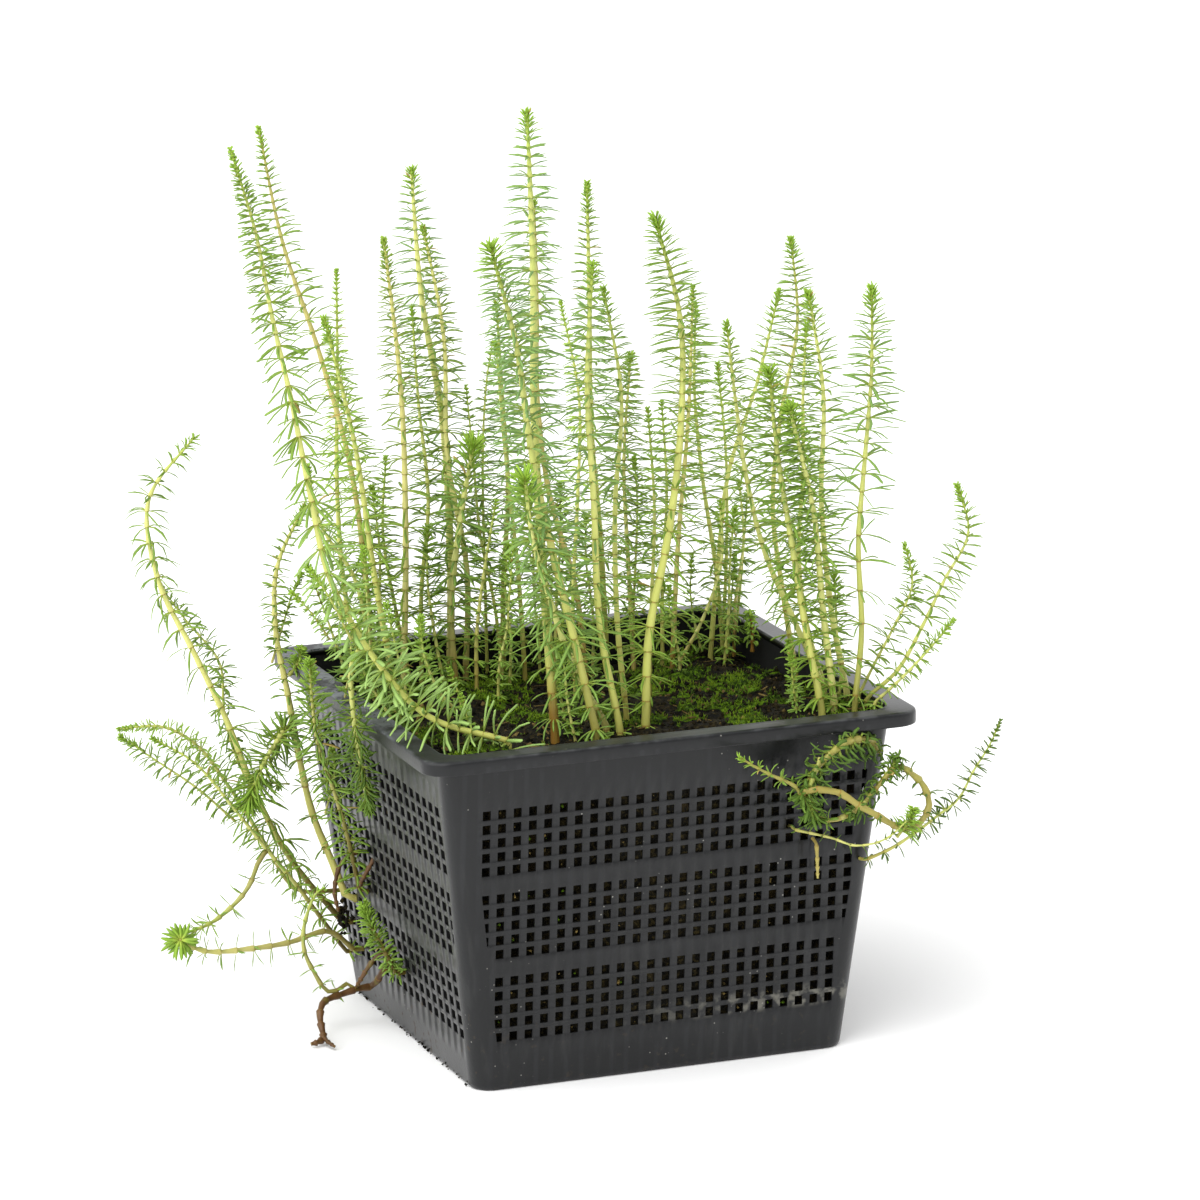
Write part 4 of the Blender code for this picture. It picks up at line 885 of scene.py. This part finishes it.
# Small shoots, placed in the same way: young ones on the peat, thin side shoots and roots outside the left wall,
# and the leafy ends in the knot.
smallShoots = {
    "younga": (1.7, 8, "young", {}, "-69 71 114, -76 75 141, -83 81 166"),
    "youngb": (1.6, 8, "upright", {}, "-12 62 115, -14 64 145, -18 68 174, -19 71 202, -20 75 231"),
    "youngc": (2, 9, "upright", {}, "51 58 115, 52 59 151, 55 61 185, 55 65 220"),
    "youngd": (1.4, 7, "young", {}, "-65 66 114, -65 68 141, -65 68 160, -64 68 178"),
    "younge": (1.6, 8, "young", {}, "-29 20 117, -28 20 134, -25 19 149, -24 18 163, -22 18 182"),
    "youngf": (1.6, 7, "young", {}, "6 71 113, 6 72 131, 5 73 144, 5 73 158, 6 72 177"),
    "youngg": (1.6, 7, "young", {}, "41 62 114, 41 62 136, 42 61 160, 43 61 181, 42 61 200"),
    "youngh": (1.5, 6, "young", {}, "71 65 114, 69 65 123, 67 66 134, 66 66 144, 67 66 159"),
    "youngi": (1.8, 8, "young", {}, "69 40 116, 71 39 140, 72 39 161, 74 38 182"),
    "youngj": (1.8, 8, "upright", {}, "80 60 114, 84 61 140, 86 61 159, 88 60 186"),
    "youngk": (1.6, 6, "young", {}, "78 58 114, 80 59 140, 82 59 159"),
    "youngl": (1.7, 8, "young", {}, "69 -37 121, 67 -37 135, 65 -36 148"),
    "youngm": (1.9, 9, "young", {}, "80 -47 121, 82 -47 136, 81 -46 150, 80 -46 174"),
    "youngn": (1.8, 8, "young", {}, "-29 -67 122, -32 -66 140, -33 -66 152, -34 -65 163"),
    "youngo": (1.8, 9, "young", {}, "-47 26 117, -51 27 128, -54 28 135, -56 29 146, -55 29 154"),
    "youngp": (1.7, 8, "young", {}, "-48 3 118, -50 4 130, -53 6 140"),
    "youngq": (1.5, 7, "upright", {}, "-14 75 113, -14 75 146, -14 75 197, -12 75 228, -9 74 247"),
    "youngr": (1.9, 9, "young", {}, "-58 66 113, -60 66 140, -58 68 170, -60 70 196"),
    "youngs": (1.9, 9, "young", {}, "-38 52 114, -42 52 138, -44 54 160, -43 56 182"),
    "youngt": (1.8, 9, "young", {}, "-16 44 115, -15 44 138, -16 46 158, -14 47 174"),
    "youngu": (1.9, 9, "young", {}, "8 60 114, 9 60 142, 12 62 170, 13 64 192"),
    "youngv": (1.8, 9, "young", {}, "24 62 114, 25 63 138, 23 64 160, 24 66 178"),
    "youngw": (1.7, 8, "young", {}, "-68 44 115, -72 44 134, -74 46 152"),
    "youngx": (1.7, 9, "young", {}, "-20 -30 120, -22 -30 134, -26 -30 146"),
    "youngy": (1.8, 9, "young", {}, "60 -60 122, 57 -62 136, 56 -62 150"),
    "youngz": (1.7, 8, "young", {}, "48 30 116, 47 30 130, 44 30 144, 44 31 156"),
    "young1a": (1.6, 8, "young", {}, "-112 -62 171, -119 -62 186, -127 -62 199"),
    "young2a": (1.6, 8, "young", {}, "-78 20 140, -79 20 163, -80 20 185"),
    "young3a": (1.7, 9, "young", {}, "-67 -44 136, -74 -44 145, -79 -44 159, -80 -44 173"),
    "young4a": (1.6, 8, "young", {}, "-68 -66 130, -70 -66 137, -73 -66 149"),
    "young5a": (1.8, 7, "tuft", dict(rust=1), "81 40 124, 81 40 132, 80 40 141"),
    "young6a": (1.7, 9, "young", {}, "-77 -20 134, -81 -20 153, -85 -20 173"),
    "young7a": (1.6, 9, "young", {}, "-88 -32 133, -94 -32 143, -102 -32 159"),
    "young8a": (1.5, 8, "young", {}, "-94 20 151, -101 20 162, -109 20 171"),
    "young9a": (1.5, 8, "young", {}, "-92 10 130, -89 10 149, -93 10 168"),
    "sidee": (2.2, 12.5, "burst", {}, "-146 44.5 34, -149 41 36.5, -150 36 38"),
    "sidej": (1.6, 14, "lush", {}, "-97 62 128, -94 60 133, -93 58 140"),
    "sidek": (1.6, 14, "trailing", {}, "-90 44 78, -86 44 92, -87 43 104"),
    "sidel": (1.4, 12, "trailing", {}, "-98 62 86, -108 60 88, -116 56 92"),
    "sidef": (1.7, 4, "root", dict(root=1), "-78.5 38 64, -86 38 60, -89 38 50, -87 39 39"),
    "sideg": (1.6, 4, "root", dict(root=1), "-78.7 20 66, -82 21 60, -83 25 55, -81 29 53"),
    "sideh": (1.8, 4, "root", dict(root=1), "-75 14 33, -82 14.5 28, -86 17 21, -87.5 21 15.5"),
    "sidei": (1.7, 2, "root", dict(root=1), "-105 8 3.4, -104.5 2 2.4, -103.1 -3.8 1.6"),
    "sidea": (1.5, 6, "trailing", {}, "-104 73 72, -114 74 93, -120 71 113, -122 69 134, -134 70 151, -145 72 168"),
    "sideb": (1.6, 10, "trailing", {}, "-121 57 75, -134 64 88, -148 68 99, -162 70 110"),
    "sidec": (1.9, 17, "lush", {}, "-97 63 108, -104 52 108, -112 47 100, -117 46 91, -119 46 84"),
    "sided": (1.6, 9, "trailing", {}, "-103 64 133, -97 68 146, -92 72 156, -86 76 164"),
    "tanglea": (1.8, 9, "tuft", {},
        "60 -99 95.5, 66 -99 97.5, 70 -99 100.5, 73 -99.5 104.5, 77 -100 109.5, 80 -100 113, 83 -100 117"),
    "tangleb": (1.8, 14, "knot", {}, "51 -103 120, 48 -104 114, 46 -104 108, 47 -103 102, 50 -101 97"),
    "tanglec": (1.5, 17, "lush", dict(dark=0, bright=0.1), "79 -106 88, 82.5 -107 92, 84.5 -107 95, 85.5 -107 99"),
}


def looksOf(name, own):
    looks = dict(plainLooks)
    for start, changes in groupLooks.items():
        if name.startswith(start):
            looks.update(changes)
    return {**looks, **own}


def placesOf(text):
    # "x y z, x y z" as lists of numbers
    return [[float(number) for number in place.split()] for place in text.split(",")]


routes, feet, grown = {}, {}, {}
for name, (start, thickness, reach, kind, own, text) in shoots.items():
    first, *points = placesOf(text)
    if start == "peat":
        feet[name] = x, y = first
        routes[name] = shootRoute((x, y, peatLevel(x, y) + 0.6), (0, 0, 1), points)
    elif start in ("left", "front"):
        across, z = first
        out = wallHalf(z) + 0.3
        seat, away = ((-out, across, z), (-1, 0, 0)) if start == "left" else ((across, -out, z), (0, -1, 0))
        routes[name] = shootRoute(seat, away, points)
    else:
        parent, share = start.split()
        stem = routes[parent]
        fork, run = (v[0] for v in stem.at(np.array([(stem.length - 3) * float(share) + 3]))[:2])
        away = np.array(first) - fork
        away = unit(away - run * (away @ run))
        routes[name] = shootRoute(fork + away * 0.4, away, [first, *points], sink=0.2)
    grown[name] = shoot(name, thickness, reach, routes[name], kind, looksOf(name, own),
                        bare=0.5 if kind == "bent" else 6.0)
for name, (thickness, reach, kind, own, text) in smallShoots.items():
    grown[name] = shoot(name, thickness, reach, Route(curve(placesOf(text))), kind, looksOf(name, own), bare=2.0)
print("shoots grown")

# pieces of special colour: slot and shoots; the rest are green and grouped by where they stand
groups = {
    "bentShoot": ("pale_leaf", ["shoot_bent"]),
    "paleThinShoot": ("pale_leaf", ["shoot_28"]),
    "paleTrailingShoot": ("pale_leaf", ["trailing_shoot_5"]),
    "browningShoots": ("brown_leaf", ["shoot_06", "shoot_09", "shoot_15", "shoot_22", "shoot_25"]),
    "wallRoot": ("root", ["wall_root"]),
    "knotOliveShoots": ("olive_stem", ["knot_loop", "knot_shoot_1", "knot_shoot_4", "knot_stub"])}
special = {name for _, names in groups.values() for name in names}
green = [name for name in grown if name not in special]
feet = {name: foot for name, foot in feet.items() if name in green}
greenGroups = {
    "knotGreenShoots": [n for n in green if n.startswith(("knot", "tangle"))],
    "trailingShoots": [n for n in green if n.startswith(("trailing", "side")) or n == "root_shoot"],
    "youngShoots": [n for n in green if n.startswith("young")],
    "backLeftShoots": [n for n, (x, y) in feet.items() if y > 20 and x < -15],
    "backRightShoots": [n for n, (x, y) in feet.items() if y > 20 and x >= -15],
    "frontLeftShoots": [n for n, (x, y) in feet.items() if y <= 20 and x < 0],
    "frontRightShoots": [n for n, (x, y) in feet.items() if y <= 20 and x >= 0]}
groups.update({title: ("green_leaf", names) for title, names in greenGroups.items()})
finishes = [stemSkin(), leafSkin()]
for title, (slot, names) in groups.items():
    makePiece(title, [part for name in names for part in grown[name]], finishes,
              [name for name in names if name in routes])
print("plants made")


def flatSheet(name, size, colour):
    # a square floor of four corners, size out each way
    mesh = bpy.data.meshes.new(name)
    mesh.from_pydata([(-size, -size, 0), (size, -size, 0), (size, size, 0), (-size, size, 0)], [], [(0, 1, 2, 3)])
    sheet = bpy.data.objects.new(name, mesh)
    bpy.context.collection.objects.link(sheet)
    material, w = newMaterial(name)
    mesh.materials.append(finishMaterial(material, w, colour, 0.9, 0.5))


def addLight(name, kind, place, run, power, settings):
    # a lamp at place that shines along run
    lamp = bpy.data.lights.new(name, kind)
    lamp.energy = power
    for key, value in settings.items():
        setattr(lamp, key, value)
    light = bpy.data.objects.new(name, lamp)
    light.location = place
    light.rotation_euler = Vector(run).to_track_quat("-Z", "Y").to_euler()
    bpy.context.collection.objects.link(light)


flatSheet("paleFloor", 40.0, (0.93, 0.93, 0.93, 1))
addLight("softSun", "SUN", (0, 0, 0), (0.78, 0.62, -0.85), 2.2, {"angle": math.radians(75)})
addLight("keyLight", "AREA", (-0.9, -1.0, 1.9), (0.9, 1.0, -1.75), 14, {"size": 1.0})
addLight("sideLight", "AREA", (-2.2, 0.2, 0.9), (2.2, -0.2, -0.8), 10, {"size": 1.4})

# the sky is white to the camera and, as light, brighter towards the back right
world = bpy.data.worlds.new("studio")
bpy.context.scene.world = world
world.use_nodes = True
world.node_tree.nodes.clear()
air = Wire(world.node_tree)
facing = air.node("VectorMath", {"operation": "DOT_PRODUCT"}, {0: air.node("TexCoord"), 1: (0.34, 0.94, 0.1)}, 1)
glow = air.node("Background", None, {0: (1, 1, 1, 1), 1: 0.62 + 0.65 * facing.between(-0.7, 0.6)})
plain = air.node("Background", None, {0: (1, 1, 1, 1), 1: 1.0})
sky = air.node("MixShader", None, {0: air.node("LightPath"), 1: glow, 2: plain})
world.node_tree.links.new(sky.socket, world.node_tree.nodes.new("ShaderNodeOutputWorld").inputs[0])
bpy.context.scene.view_settings.view_transform = "Standard"

# the camera, solved from the basket's corners: its place in metres, the way back from the object and to the
# right, how far it is rolled in degrees, and its lens and sensor in mm
view = {"place": (-0.8144, -2.2504, 0.7315), "back": (-0.33282, -0.91403, 0.23192),
        "right": (0.93965, -0.34215, 0.0), "roll": -1.018, "lens": 199.43, "sensor": 36}
back, right = Vector(view["back"]), Vector(view["right"])
up, roll = back.cross(right), math.radians(view["roll"])
sideways = right * math.cos(roll) + up * math.sin(roll)
upright = up * math.cos(roll) - right * math.sin(roll)
camera = bpy.data.objects.new("camera", bpy.data.cameras.new("camera"))
bpy.context.collection.objects.link(camera)
camera.data.lens, camera.data.sensor_width = view["lens"], view["sensor"]
camera.data.clip_start, camera.data.clip_end = 0.1, 100
axes = [(sideways[k], upright[k], back[k], view["place"][k]) for k in range(3)]
camera.matrix_world = Matrix((*axes, (0, 0, 0, 1)))
bpy.context.scene.camera = camera
print("floor, light and camera set")
